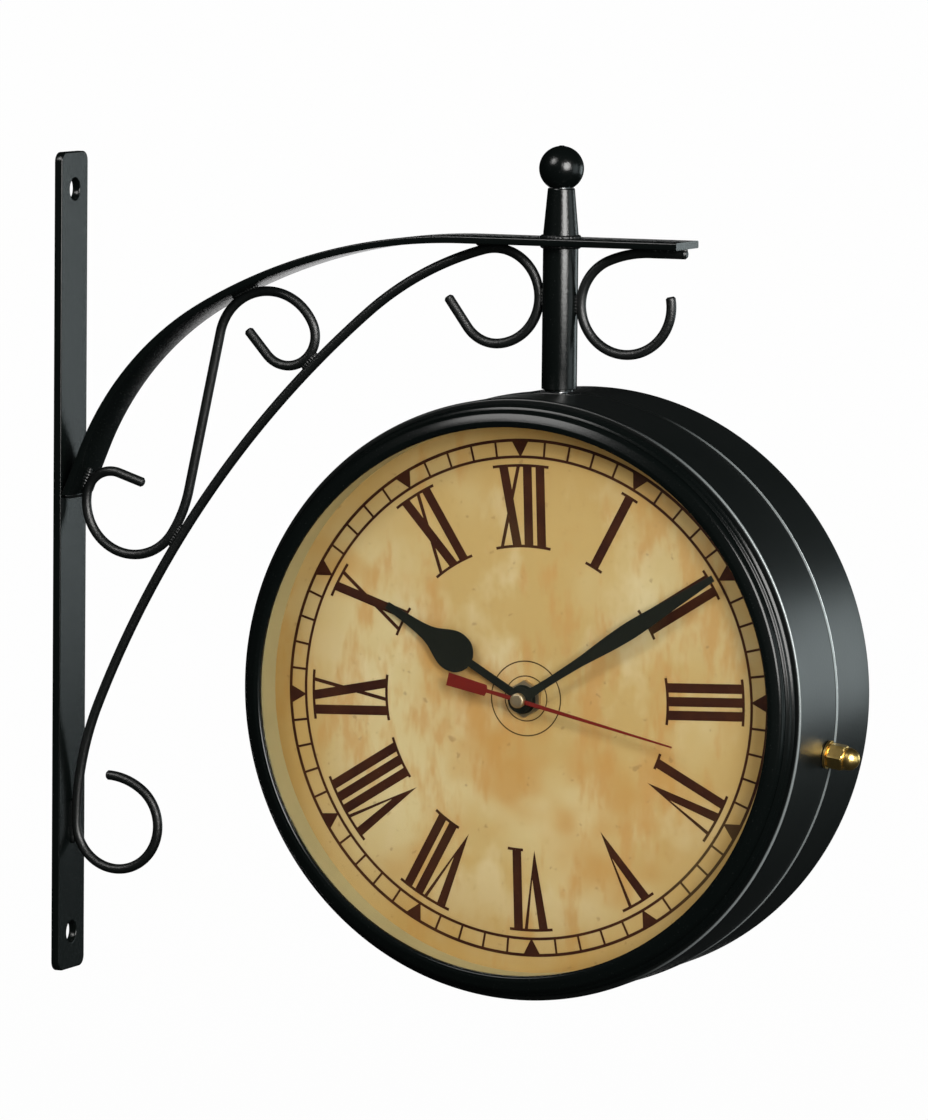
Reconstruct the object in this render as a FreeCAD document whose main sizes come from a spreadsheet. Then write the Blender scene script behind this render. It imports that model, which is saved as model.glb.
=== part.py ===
import FreeCAD, Part
import Sketcher
import math
import os
import re

# Double sided station clock on a scrolled wall bracket.
# Millimetres. The origin is the centre of the wall bar's back face: +X points away from the
# wall, +Z up, and the front dial faces -Y. Both dials and everything behind them are the same
# pieces, turned half a turn about the post that the drum hangs from.

doc = FreeCAD.newDocument("station_clock")
sheet = doc.addObject("Spreadsheet::Sheet", "sheet")

SIZES = {
    # wall bar
    "bar_length": 286, "bar_width": 20, "bar_thickness": 3, "bar_end_round": 3.5,
    "screw_hole": 7.5, "screw_inset": 13,
    # arm strip, flat bar bent over the hard side into two arcs
    "strip_width": 20, "strip_thickness": 2.5, "strip_height": 118.7, "arm_reach": 186,
    "strip_overhang": 46, "strip_flat": "=arm_reach * 32.9 / 186",
    "strip_bend_out": "=arm_reach * 195.5 / 186", "strip_turn_out": 29.8,
    "strip_bend_in": "=arm_reach * 108 / 186", "strip_turn_in": 37.5,
    # scrolls, round rod bent cold; the brace and the S keep their form at any reach
    "rod_size": 3.4, "brace_foot_drop": "=arm_reach * 209.7 / 186 - strip_height",
    "brace_foot_eye": "=arm_reach * 15.8 / 186", "brace_foot_bow": "=arm_reach * 110 / 186",
    "brace_foot_tail": "=arm_reach * 22.7 / 186", "brace_bow": "=arm_reach * 370 / 186",
    "brace_head_bow": "=arm_reach * 113 / 186", "brace_head_eye": "=arm_reach * 16.2 / 186",
    "brace_head_angle": 105.7, "brace_curl": "=brace_head_eye * 0.802",
    "brace_tail": "=brace_head_eye * 0.765", "ess_foot_eye": "=arm_reach * 18 / 186",
    "ess_foot_curl": "=ess_foot_eye * 0.528", "ess_foot_tail": "=ess_foot_eye * 0.556",
    "ess_bow": "=arm_reach * 46 / 186", "ess_head_eye": "=arm_reach * 18.6 / 186",
    "ess_head_curl": "=ess_head_eye * 0.559", "ess_head_angle": 26,
    "ess_tail": "=ess_head_eye * 0.591", "end_eye": 16.4, "end_bow": 38,
    # post and finial
    "post_size": 12, "post_wall": 1.2, "finial_height": 16.8, "finial_top": 9.2,
    "ball_size": 15.5, "hanger_size": 6, "hanger_nut_flats": 10, "hanger_nut_height": 4,
    "seat_washer_size": 10, "seat_washer_height": 0.8,
    # drum, two pressed half shells
    "drum_drop": 35, "drum_radius": 101.5, "sheet_wall": 0.9, "seam_back": 1.5,
    "flange_depth": "=lip_depth - 7.9", "sleeve_reach": 9, "sleeve_gap": 0.5, "edge_round": 0.7,
    "seat_half": 7.4, "seat_reach": 7, "saddle_angle": 36, "saddle_wall": 1.2,
    # hinge at the wall side and closing stud at the free side
    "hinge_height": 24, "hinge_leaf_width": 11, "hinge_leaf_wall": 1, "knuckle_radius": 2.5,
    "knuckle_height": 8, "pin_radius": 1.2, "stud_angle": 8.6, "stud_back": 5,
    "stud_radius": 2.5, "nut_flats": 8, "nut_hex_length": 5.2, "nut_length": 10.6,
    "nut_dome_radius": 3.8, "closing_washer_radius": 4.8, "closing_washer_height": 0.8,
    # bezel, glass and dial
    "bezel_wall": 0.9, "bezel_bore": 96.6, "lip_depth": 40.3, "opening_radius": 92.2,
    "glass_front": "=lip_depth - 2.3", "glass_thickness": 2, "ring_bore": 93, "ring_wall": 2,
    "dial_depth": "=lip_depth - 14.7",
    "card_thickness": 0.5, "plate_thickness": 0.8, "tab_width": 10, "tab_reach": 4.6,
    # quartz movement
    "case_side": 56, "case_depth": 15, "case_wall": 1.2, "cover_thickness": 1.4,
    "case_corner": 3, "battery_radius": 7, "battery_length": 50.5, "bay_height": 15,
    "pad_thickness": 0.5, "pad_radius": 9, "bush_radius": 4, "bush_end": "=dial_depth + 2.4",
    "bush_flange": 5.6, "mounting_nut_flats": 11, "mounting_nut_height": 2,
    "contact_wall": 0.4, "contact_side": 9,
    # motion work behind the dial
    "pipe_radius": 2.5, "arbor_radius": 1.65, "second_radius": 0.6, "post_radius": 0.6,
    "drive_module": 0.5, "hour_module": 0.4, "pinion_teeth": 12, "motion_teeth": 36,
    "hour_teeth": 48, "wheel_width": 0.8, "pinion_width": 1.2, "motion_level": "=dial_depth - 7.2",
    "hour_level": "=dial_depth - 5.2", "motion_angle": 150, "knob_radius": 5, "knob_height": 3,
    "knob_shaft": 1.2,
    # hands, as they stand in the photograph
    "hour_reach": 58, "minute_reach": 82, "second_reach": 57, "second_tail": 26.6,
    "hand_thickness": 0.4, "hour_hand_level": "=dial_depth + 3",
    "minute_hand_level": "=dial_depth + 5", "second_hand_level": "=dial_depth + 6.4",
    "second_boss_radius": 2.5, "second_boss_end": "=dial_depth + 8.4",
    "hour_angle": 300.4, "minute_angle": 57.2, "second_angle": 102.8,
    # clearances
    "run_gap": 0.05, "free_gap": 0.3, "slot_gap": 0.4,
}

for row, name in enumerate(SIZES, start=1):
    sheet.set("A%d" % row, name)
    sheet.setAlias("B%d" % row, name)
for row, size in enumerate(SIZES.values(), start=1):
    sheet.set("B%d" % row, str(size))
doc.recompute()

# Places that several pieces share, as expressions on the sheet's names.
STRIP_UNDER = "(strip_height - strip_thickness)"
ROD = "(rod_size / 2)"
DRUM_TOP = "(drum_radius - drum_drop)"
POST_FOOT = "(%s + free_gap + seat_washer_height)" % DRUM_TOP
SKIRT_BORE = "(drum_radius - sheet_wall)"
SLEEVE = "(drum_radius - sheet_wall - sleeve_gap)"
SLEEVE_BORE = "(drum_radius - 2 * sheet_wall - sleeve_gap)"
SADDLE_BORE = "(%s - saddle_wall)" % SLEEVE_BORE
BEZEL_OUT = "(bezel_bore + bezel_wall)"
GLASS_BACK = "(glass_front - glass_thickness)"
PLATE_FRONT = "(dial_depth - card_thickness)"
PLATE_BACK = "(dial_depth - card_thickness - plate_thickness)"
CASE_FRONT = "(%s - pad_thickness)" % PLATE_BACK
CASE_BACK = "(%s - case_depth)" % CASE_FRONT
BAY_FLOOR = "(%s - case_wall)" % CASE_FRONT
BAY_CEILING = "(case_wall + bay_height - case_side / 2)"
BATTERY_DEPTH = "(%s - free_gap - battery_radius)" % BAY_FLOOR
BATTERY_DROP = "(case_side / 2 - case_wall - bay_height / 2)"
MOTION_GAP = "(drive_module * (pinion_teeth + motion_teeth) / 2)"
WHEEL_BORE = "(post_radius + run_gap)"
WASHER_SEAT = "(drum_radius + free_gap)"
HEAD_SEAT = "sqrt(%s ^ 2 - (stud_radius * 1.6) ^ 2)" % SLEEVE_BORE
NUT_SEAT = "(%s + closing_washer_height + 2 * run_gap)" % WASHER_SEAT
PIN_OUT = "(drum_radius + hinge_leaf_wall / 2 + knuckle_radius)"

FRONT, REAR = "front", "rear"


def value(text):
    return float(sheet.evalExpression(str(text)))


def linked(text):
    """The same expression as another object of the document has to write it."""
    return re.sub(r"[a-z_]+", lambda m: "sheet." + m.group(0) if m.group(0) in SIZES else m.group(0),
                  str(text))


def bind(thing, prop, text):
    thing.setExpression(prop, linked(text))


# ---- sketches and bodies -------------------------------------------------------------------

def new_body(label):
    body = doc.addObject("PartDesign::Body", label)
    body.Label = label
    return body


def new_sketch(body, plane, lift="0", tilt=0):
    """A sketch on one of the body's own planes, lifted along its normal and tilted about its x."""
    sketch = body.newObject("Sketcher::SketchObject", "Sketch")
    origin_plane = [o for o in body.Origin.OriginFeatures if o.Role == plane + "_Plane"][0]
    sketch.AttachmentSupport = [(origin_plane, "")]
    sketch.MapMode = "FlatFace"
    if tilt:
        sketch.AttachmentOffset = FreeCAD.Placement(FreeCAD.Vector(),
                                                    FreeCAD.Rotation(FreeCAD.Vector(1, 0, 0), tilt))
    bind(sketch, "AttachmentOffset.Base.z", lift)
    return sketch


def hold(sketch, geometry, point, x, y):
    """Ties one point of a sketch to two expressions."""
    for kind, text in (("DistanceX", x), ("DistanceY", y)):
        index = sketch.addConstraint(Sketcher.Constraint(kind, -1, 1, geometry, point, value(text)))
        bind(sketch, "Constraints[%d]" % index, text)


def draw_polygon(sketch, points):
    first = sketch.GeometryCount
    corners = [FreeCAD.Vector(value(x), value(y), 0) for x, y in points]
    count = len(corners)
    for i in range(count):
        sketch.addGeometry(Part.LineSegment(corners[i], corners[(i + 1) % count]), False)
    for i in range(count):
        after = first + (i + 1) % count
        sketch.addConstraint(Sketcher.Constraint("Coincident", first + i, 2, after, 1))
    for i, (x, y) in enumerate(points):
        hold(sketch, first + i, 1, x, y)


def draw_circle(sketch, x, y, radius):
    centre = FreeCAD.Vector(value(x), value(y), 0)
    circle = sketch.addGeometry(Part.Circle(centre, FreeCAD.Vector(0, 0, 1), value(radius)), False)
    hold(sketch, circle, 3, x, y)
    index = sketch.addConstraint(Sketcher.Constraint("Radius", circle, value(radius)))
    bind(sketch, "Constraints[%d]" % index, radius)


def draw_box(sketch, x_low, x_high, y_low, y_high):
    draw_polygon(sketch, [(x_low, y_low), (x_high, y_low), (x_high, y_high), (x_low, y_high)])


def add(body, kind, sketch, **settings):
    feature = body.newObject("PartDesign::" + kind, kind)
    feature.Profile = sketch
    for name, setting in settings.items():
        if isinstance(setting, str) and name in ("Length", "Angle"):
            bind(feature, name, setting)
        else:
            setattr(feature, name, setting)
    return feature


def pad(body, sketch, length, **settings):
    return add(body, "Pad", sketch, Length=length, **settings)


def pocket(body, sketch, length, **settings):
    """A cut that has to take material away."""
    doc.recompute()
    before = body.Shape.Volume
    feature = add(body, "Pocket", sketch, Length=length, **settings)
    doc.recompute()
    if body.Shape.Volume > before - 0.01:
        raise RuntimeError("a pocket in %s cuts nothing" % body.Label)
    return feature


def polar(body, feature, sketch, count):
    pattern = body.newObject("PartDesign::PolarPattern", "PolarPattern")
    pattern.Originals = [feature]
    pattern.Axis = (sketch, ["N_Axis"])
    pattern.Angle = 360
    bind(pattern, "Occurrences", count)
    body.Tip = pattern
    return pattern


def round_edges(body, radius, wanted):
    """Fillets the edges of the body's last feature that wanted(edge) picks."""
    doc.recompute()
    tip = body.Tip
    names = ["Edge%d" % (i + 1) for i, edge in enumerate(tip.Shape.Edges) if wanted(edge)]
    fillet = body.newObject("PartDesign::Fillet", "Fillet")
    fillet.Base = (tip, names)
    bind(fillet, "Radius", radius)
    return fillet


def lathe(label, points, axis):
    """A turned piece from (radius, station) points. Stations run forwards, towards the viewer,
    on the Y axis, and upwards on the Z axis."""
    body = new_body(label)
    if axis == "Y":
        sketch = new_sketch(body, "XY")
        draw_polygon(sketch, [(r, "-(%s)" % station) for r, station in points])
    else:
        sketch = new_sketch(body, "XZ")
        draw_polygon(sketch, points)
    add(body, "Revolution", sketch, ReferenceAxis=(sketch, ["V_Axis"]), Angle=360)
    return body


def ring(label, bore, outer, low, high, axis):
    return lathe(label, [(bore, low), (outer, low), (outer, high), (bore, high)], axis)


def on_post(piece):
    """Stands a piece that is turned about the Z axis on the post's axis."""
    bind(piece, "Placement.Base.x", "arm_reach")
    return piece


def in_drum(piece, side, x="0", z="0", turn=0, back="0"):
    """Places a piece that is drawn about the drum's centre, in the front or the rear half."""
    half = 0 if side == FRONT else 180
    sign = "1" if side == FRONT else "-1"
    spin = FreeCAD.Rotation(FreeCAD.Vector(0, 1, 0), turn)
    piece.Placement = FreeCAD.Placement(FreeCAD.Vector(),
                                        FreeCAD.Rotation(FreeCAD.Vector(0, 0, 1), half).multiply(spin))
    bind(piece, "Placement.Base.x", "arm_reach + %s * (%s)" % (sign, x))
    bind(piece, "Placement.Base.y", "-(%s) * (%s)" % (sign, back))
    bind(piece, "Placement.Base.z", "(%s) - drum_drop" % z)
    return piece


def hex_nut(label, flats, low, high, bore, axis="Y"):
    """A plain hexagon nut drawn about the origin."""
    body = new_body(label)
    plane = "XZ" if axis == "Y" else "XY"
    sketch = new_sketch(body, plane, low)
    across = "%s / sqrt(3)" % flats
    draw_polygon(sketch, [("%s * cos(%d)" % (across, a), "%s * sin(%d)" % (across, a))
                          for a in range(30, 390, 60)])
    pad(body, sketch, "(%s) - (%s)" % (high, low))
    hole = new_sketch(body, plane, low)
    draw_circle(hole, "0", "0", bore)
    pocket(body, hole, "(%s) - (%s)" % (high, low), Reversed=True)
    return body


# ---- plane geometry of the ironwork ----------------------------------------------------------

def meet(centre_a, reach_a, centre_b, reach_b, side):
    """The point at given distances from two centres, left (+1) or right (-1) of a to b."""
    ax, az = centre_a
    bx, bz = centre_b
    gap = math.hypot(bx - ax, bz - az)
    ux, uz = (bx - ax) / gap, (bz - az) / gap
    along = (reach_a ** 2 - reach_b ** 2 + gap ** 2) / (2 * gap)
    off = side * math.sqrt(reach_a ** 2 - along ** 2)
    return (ax + along * ux - off * uz, az + along * uz + off * ux)


def bearing(centre, point):
    return math.degrees(math.atan2(point[1] - centre[1], point[0] - centre[0]))


def polar_point(centre, radius, angle):
    return (centre[0] + radius * math.cos(math.radians(angle)),
            centre[1] + radius * math.sin(math.radians(angle)))


class Outline:
    """A run of lines and arcs in the bracket's plane, each starting where the last one ended."""

    def __init__(self, start):
        self.edges = []
        self.here = start
        self.centre = start

    def line(self, end):
        self.edges.append(Part.LineSegment(FreeCAD.Vector(self.here[0], self.here[1], 0),
                                           FreeCAD.Vector(end[0], end[1], 0)))
        self.here = end

    def arc(self, centre, turn):
        """Turns about a centre by so many degrees, anticlockwise when positive."""
        radius = math.hypot(self.here[0] - centre[0], self.here[1] - centre[1])
        start = bearing(centre, self.here)
        middle = polar_point(centre, radius, start + turn / 2)
        end = polar_point(centre, radius, start + turn)
        self.edges.append(Part.Arc(FreeCAD.Vector(self.here[0], self.here[1], 0),
                                   FreeCAD.Vector(middle[0], middle[1], 0),
                                   FreeCAD.Vector(end[0], end[1], 0)))
        self.here = end
        self.centre = centre

    def arc_to(self, centre, angle, direction):
        """Turns about a centre, one way round, until it stands at that bearing from it."""
        turn = (angle - bearing(centre, self.here)) % 360
        if direction < 0:
            turn -= 360
        self.arc(centre, turn)

    def curl(self, radius, turn):
        """Goes on tangent to the last arc with another radius, the same way round."""
        self.arc(polar_point(self.here, radius, bearing(self.here, self.centre)), turn)

    def tail(self, length, direction):
        """A straight end, tangent to the last arc."""
        heading = math.radians(bearing(self.centre, self.here) + 90 * direction)
        self.line((self.here[0] + length * math.cos(heading),
                   self.here[1] + length * math.sin(heading)))


def strip_lines():
    """Where the arm strip bends: the centres of its two arcs and its straight foot."""
    reach, top = value("arm_reach"), value("strip_height")
    bend_out, bend_in = value("strip_bend_out"), value("strip_bend_in")
    start = (reach - value("strip_flat"), top)
    centre_out = (start[0], top - bend_out)
    turn_out = 90 + value("strip_turn_out")
    joint = polar_point(centre_out, bend_out, turn_out)
    centre_in = polar_point(joint, bend_in, turn_out + 180)
    turn_in = turn_out + value("strip_turn_in")
    foot = polar_point(centre_in, bend_in, turn_in)
    return start, centre_out, centre_in, turn_in, foot


def brace_circles():
    """Centres of the brace's arcs, from the wall upwards, each touching the next inside."""
    face, rod = value("bar_thickness"), value(ROD)
    foot_eye, foot_bow = value("brace_foot_eye"), value("brace_foot_bow")
    head_eye, head_bow, bow = value("brace_head_eye"), value("brace_head_bow"), value("brace_bow")
    drop = -value("brace_foot_drop")
    eye = (face + rod + foot_eye, drop)
    lower = (face + rod + foot_bow, drop)
    head = (value("arm_reach - post_size / 2") - rod - head_eye, value(STRIP_UNDER) - rod - head_eye)
    upper = polar_point(head, head_bow - head_eye, value("brace_head_angle") + 180)
    long_bow = meet(lower, bow - foot_bow, upper, bow - head_bow, -1)
    return eye, lower, long_bow, upper, head


# ---- bracket -----------------------------------------------------------------------------------

def wall_bar():
    body = new_body("wall_bar")
    face = new_sketch(body, "YZ")
    draw_box(face, "-bar_width / 2", "bar_width / 2", "-bar_length / 2", "bar_length / 2")
    pad(body, face, "bar_thickness")
    round_edges(body, "bar_end_round", lambda e: len(e.Vertexes) == 2 and
                abs(e.Vertexes[0].X - e.Vertexes[1].X) > 0.1)
    for sign in ("", "-"):
        hole = new_sketch(body, "YZ")
        draw_circle(hole, "0", "%s(bar_length / 2 - screw_inset)" % sign, "screw_hole / 2")
        pocket(body, hole, "bar_thickness", Reversed=True)
    return body


def arm_strip():
    """Flat bar, cut level where it meets the wall bar's face, bent over and run out level."""
    start, centre_out, centre_in, turn_in, foot = strip_lines()
    thick, face = value("strip_thickness"), value("bar_thickness")
    end_x = value("arm_reach + strip_overhang")
    heading = math.radians(turn_in + 90)
    run = (face - foot[0]) / math.cos(heading)
    toe = (face, foot[1] + run * math.sin(heading))
    outline = Outline((end_x, start[1]))
    outline.line(start)
    outline.arc(centre_out, value("strip_turn_out"))
    outline.arc(centre_in, value("strip_turn_in"))
    outline.line(toe)
    inner_foot = polar_point(centre_in, value("strip_bend_in") - thick, turn_in)
    inner_run = (toe[1] - inner_foot[1]) / math.sin(heading)
    outline.line((inner_foot[0] + inner_run * math.cos(heading), toe[1]))
    outline.line(inner_foot)
    outline.arc(centre_in, -value("strip_turn_in"))
    outline.arc(centre_out, -value("strip_turn_out"))
    outline.line((end_x, start[1] - thick))
    outline.line((end_x, start[1]))
    body = new_body("arm_strip")
    side = new_sketch(body, "XZ")
    for edge in outline.edges:
        side.addGeometry(edge, False)
    pad(body, side, "strip_width", Midplane=True)
    hole = new_sketch(body, "XY", STRIP_UNDER)
    draw_circle(hole, "arm_reach", "0", "hanger_size / 2")
    pocket(body, hole, "strip_thickness", Reversed=True)
    return body


def scroll(label, outline):
    """Round rod carried along an outline."""
    body = new_body(label)
    path = new_sketch(body, "XZ")
    for edge in outline.edges:
        path.addGeometry(edge, False)
    first = outline.edges[0].toShape()
    start = first.valueAt(first.FirstParameter)
    heading = first.tangentAt(first.FirstParameter)
    section = body.newObject("Sketcher::SketchObject", "Section")
    section.Placement = FreeCAD.Placement(
        FreeCAD.Vector(start.x, 0, start.y),
        FreeCAD.Rotation(FreeCAD.Vector(0, 0, 1), FreeCAD.Vector(heading.x, 0, heading.y)))
    draw_circle(section, "0", "0", ROD)
    pipe = body.newObject("PartDesign::AdditivePipe", "AdditivePipe")
    pipe.Profile = section
    pipe.Spine = (path, ["Edge%d" % (i + 1) for i in range(len(outline.edges))])
    return body


def brace_scroll():
    """The long brace: an eye that lies on the wall bar, a bow, and an eye under the strip."""
    eye, lower, long_bow, upper, head = brace_circles()
    foot_eye = value("brace_foot_eye")
    tail = polar_point(polar_point(eye, foot_eye, 55), value("brace_foot_tail"), 235)
    outline = Outline(polar_point(tail, value("brace_foot_tail"), 90))
    outline.arc_to(tail, 55, -1)
    outline.arc_to(eye, 180, -1)
    outline.arc_to(lower, bearing(long_bow, lower), -1)
    outline.arc_to(long_bow, bearing(long_bow, upper), -1)
    outline.arc_to(upper, value("brace_head_angle"), -1)
    outline.arc_to(head, -84, -1)
    outline.curl(value("brace_curl"), -60)
    outline.tail(value("brace_tail"), -1)
    return scroll("brace_scroll", outline)


def ess_scroll():
    """The S between strip and brace: its eyes touch the strip above and the brace below."""
    start, centre_out, centre_in, turn_in, foot = strip_lines()
    long_bow = brace_circles()[2]
    rod, thick, bow = value(ROD), value("strip_thickness"), value("brace_bow")
    foot_eye, head_eye = value("ess_foot_eye"), value("ess_head_eye")
    foot_curl, head_curl = value("ess_foot_curl"), value("ess_head_curl")
    # the foot eye lies against the strip's straight foot and against the brace's bow
    inward = foot_eye + rod + thick
    base = polar_point(foot, inward, turn_in + 180)
    heading = turn_in + 90
    reach = bow + 2 * rod + foot_eye
    bx, bz = base[0] - long_bow[0], base[1] - long_bow[1]
    ux, uz = math.cos(math.radians(heading)), math.sin(math.radians(heading))
    along = bx * ux + bz * uz
    step = -along - math.sqrt(along ** 2 - bx ** 2 - bz ** 2 + reach ** 2)
    low = (base[0] + step * ux, base[1] + step * uz)
    # the head eye lies under the strip's outer bend, and its curl against the brace
    inside = value("strip_bend_out") - thick - rod - head_eye
    high = polar_point(centre_out, inside, 90 + value("ess_head_angle"))
    curl = meet(high, head_eye - head_curl, long_bow, bow + 2 * rod + head_curl, 1)
    # from where it touches the brace it opens into a wider bow, then crosses straight to the head
    touch = bearing(long_bow, low) + 180
    ess_bow = value("ess_bow")
    opened = polar_point(low, ess_bow - foot_eye, touch + 180)
    gap = math.hypot(high[0] - opened[0], high[1] - opened[1])
    leave = bearing(opened, high) - math.degrees(math.acos((ess_bow + head_eye) / gap))
    curl_low = polar_point(low, foot_eye - foot_curl, 172)
    tail_end = polar_point(curl_low, foot_curl, 72)
    outline = Outline(polar_point(tail_end, value("ess_foot_tail"), 72 - 90))
    outline.line(tail_end)
    outline.arc_to(curl_low, 172, 1)
    outline.arc_to(low, touch, 1)
    outline.arc_to(opened, leave, 1)
    outline.line(polar_point(high, head_eye, leave + 180))
    outline.arc_to(high, bearing(high, curl), -1)
    outline.arc_to(curl, -165, -1)
    outline.tail(value("ess_tail"), -1)
    return scroll("ess_scroll", outline)


def end_scroll():
    """The hook beyond the post: along the strip's underside, then round against the post."""
    rod, eye, bow = value(ROD), value("end_eye"), value("end_bow")
    level = value(STRIP_UNDER) - rod
    centre = (value("arm_reach + post_size / 2") + rod + eye, level - eye - rod)
    drop = bow - (level - centre[1])
    bow_centre = (centre[0] + math.sqrt((bow - eye) ** 2 - drop ** 2), level - bow)
    outline = Outline((value("arm_reach + strip_overhang"), level))
    outline.line((bow_centre[0], level))
    outline.arc_to(bow_centre, bearing(bow_centre, centre), 1)
    outline.arc_to(centre, 15, 1)
    return scroll("end_scroll", outline)


def post_and_finial():
    on_post(ring("post_tube", "post_size / 2 - post_wall", "post_size / 2", POST_FOOT, STRIP_UNDER, "Z"))
    cone_top = "(strip_height + finial_height)"
    on_post(lathe("finial_cone", [("hanger_size / 2", "strip_height"), ("post_size / 2", "strip_height"),
                                  ("finial_top / 2", cone_top), ("hanger_size / 2", cone_top)], "Z"))
    ball = new_body("finial_ball")
    profile = new_sketch(ball, "XZ")
    radius = value("ball_size / 2")
    flat = value("finial_top / 2") - 0.5
    low = math.sqrt(radius ** 2 - flat ** 2)
    middle = value(cone_top) + low
    angle = math.degrees(math.atan2(-low, flat))
    outline = Outline((0, middle - low))
    outline.line((flat, middle - low))
    outline.arc((0, middle), 90 - angle)
    outline.line((0, middle - low))
    for edge in outline.edges:
        profile.addGeometry(edge, False)
    add(ball, "Revolution", profile, ReferenceAxis=(profile, ["V_Axis"]), Angle=360)
    bore = new_sketch(ball, "XY", cone_top)
    draw_circle(bore, "0", "0", "hanger_size / 2")
    pocket(ball, bore, "ball_size / 2", Reversed=True)
    on_post(ball)


def hanger():
    """Threaded rod from the ball down through strip, post and drum top, with its washers and nuts."""
    washer_top = "(%s - drum_drop - 2 * free_gap)" % SADDLE_BORE
    washer_foot = "(%s - seat_washer_height)" % washer_top
    nut_foot = "(%s - 2 * hanger_nut_height)" % washer_foot
    on_post(lathe("hanger_rod", [("0", "%s - 1.5" % nut_foot), ("hanger_size / 2", "%s - 1.5" % nut_foot),
                                 ("hanger_size / 2", "strip_height + finial_height + ball_size / 2"),
                                 ("0", "strip_height + finial_height + ball_size / 2")], "Z"))
    on_post(ring("seat_washer", "hanger_size / 2", "seat_washer_size / 2",
                 "%s - seat_washer_height" % POST_FOOT, POST_FOOT, "Z"))
    on_post(ring("hanger_washer", "hanger_size / 2", "seat_washer_size / 2 + 1", washer_foot,
                 washer_top, "Z"))
    on_post(hex_nut("hanger_nut", "hanger_nut_flats", "%s - hanger_nut_height" % washer_foot,
                    washer_foot, "hanger_size / 2", "Z"))
    on_post(hex_nut("hanger_locknut", "hanger_nut_flats", nut_foot,
                    "%s - hanger_nut_height" % washer_foot, "hanger_size / 2", "Z"))


# ---- drum ----------------------------------------------------------------------------------------

def outer_corner(edge):
    """Picks the circle where the skirt turns in to the flange."""
    curve = edge.Curve
    if not hasattr(curve, "Radius"):
        return False
    return (abs(curve.Radius - value("drum_radius")) < 0.01 and
            abs(edge.Vertexes[0].Y + value("flange_depth")) < 0.01)


def front_shell():
    """Pressed half with a plain skirt, notched for the post's seat and slotted for the stud."""
    body = lathe("front_shell", [
        ("drum_radius", "-seam_back"), ("drum_radius", "flange_depth"),
        (BEZEL_OUT, "flange_depth"), (BEZEL_OUT, "flange_depth - sheet_wall"),
        (SKIRT_BORE, "flange_depth - sheet_wall"), (SKIRT_BORE, "-seam_back")], "Y")
    round_edges(body, "edge_round", outer_corner)
    notch = new_sketch(body, "XY")
    width = "(seat_half + slot_gap)"
    draw_box(notch, "-" + width, width, "-(seat_reach + slot_gap)", "seam_back + 1")
    pocket(body, notch, "drum_radius + 1", Reversed=True)
    slot = new_sketch(body, "YZ", tilt=value("stud_angle"))
    half = "(stud_radius + slot_gap)"
    draw_circle(slot, "-stud_back", "0", half)
    pocket(body, slot, "drum_radius + 1", Reversed=True)
    mouth = new_sketch(body, "YZ", tilt=value("stud_angle"))
    draw_box(mouth, "-stud_back", "seam_back + 1", "-" + half, half)
    pocket(body, mouth, "drum_radius + 1", Reversed=True)
    return in_drum(body, FRONT)


def rear_shell():
    """Pressed half whose rim is joggled in to a sleeve that the front half closes over."""
    seam = "(-seam_back - free_gap)"
    rim = "(seam_back + free_gap)"
    body = lathe("rear_shell", [
        ("drum_radius", rim), ("drum_radius", "flange_depth"),
        (BEZEL_OUT, "flange_depth"), (BEZEL_OUT, "flange_depth - sheet_wall"),
        (SKIRT_BORE, "flange_depth - sheet_wall"), (SKIRT_BORE, rim + " + sheet_wall"),
        (SLEEVE_BORE, rim + " + sheet_wall"), (SLEEVE_BORE, "-sleeve_reach"),
        (SLEEVE, "-sleeve_reach"), (SLEEVE, rim)], "Y")
    round_edges(body, "edge_round", outer_corner)
    seat = new_sketch(body, "YZ")
    draw_box(seat, seam, "seat_reach", "%s - sheet_wall / 2" % SLEEVE, "drum_radius")
    add(body, "Revolution", seat, ReferenceAxis=(seat, ["H_Axis"]),
        Angle="2 * asin(seat_half / drum_radius)", Midplane=True)
    rod_hole = new_sketch(body, "XY")
    draw_circle(rod_hole, "0", "0", "hanger_size / 2 + run_gap")
    pocket(body, rod_hole, "drum_radius + 1", Reversed=True)
    stud_hole = new_sketch(body, "YZ", tilt=-value("stud_angle"))
    draw_circle(stud_hole, "stud_back", "0", "stud_radius")
    pocket(body, stud_hole, "drum_radius + 1")
    return in_drum(body, REAR)


def saddle_plate():
    """Curved stiffener inside the top of the sleeve, under the post's seat."""
    body = new_body("saddle_plate")
    section = new_sketch(body, "YZ")
    draw_box(section, "-sleeve_reach", "seam_back", SADDLE_BORE, SLEEVE_BORE)
    add(body, "Revolution", section, ReferenceAxis=(section, ["H_Axis"]), Angle="saddle_angle",
        Midplane=True)
    hole = new_sketch(body, "XY")
    draw_circle(hole, "0", "0", "hanger_size / 2 + run_gap")
    pocket(body, hole, "drum_radius", Reversed=True)
    return in_drum(body, FRONT)


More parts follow.
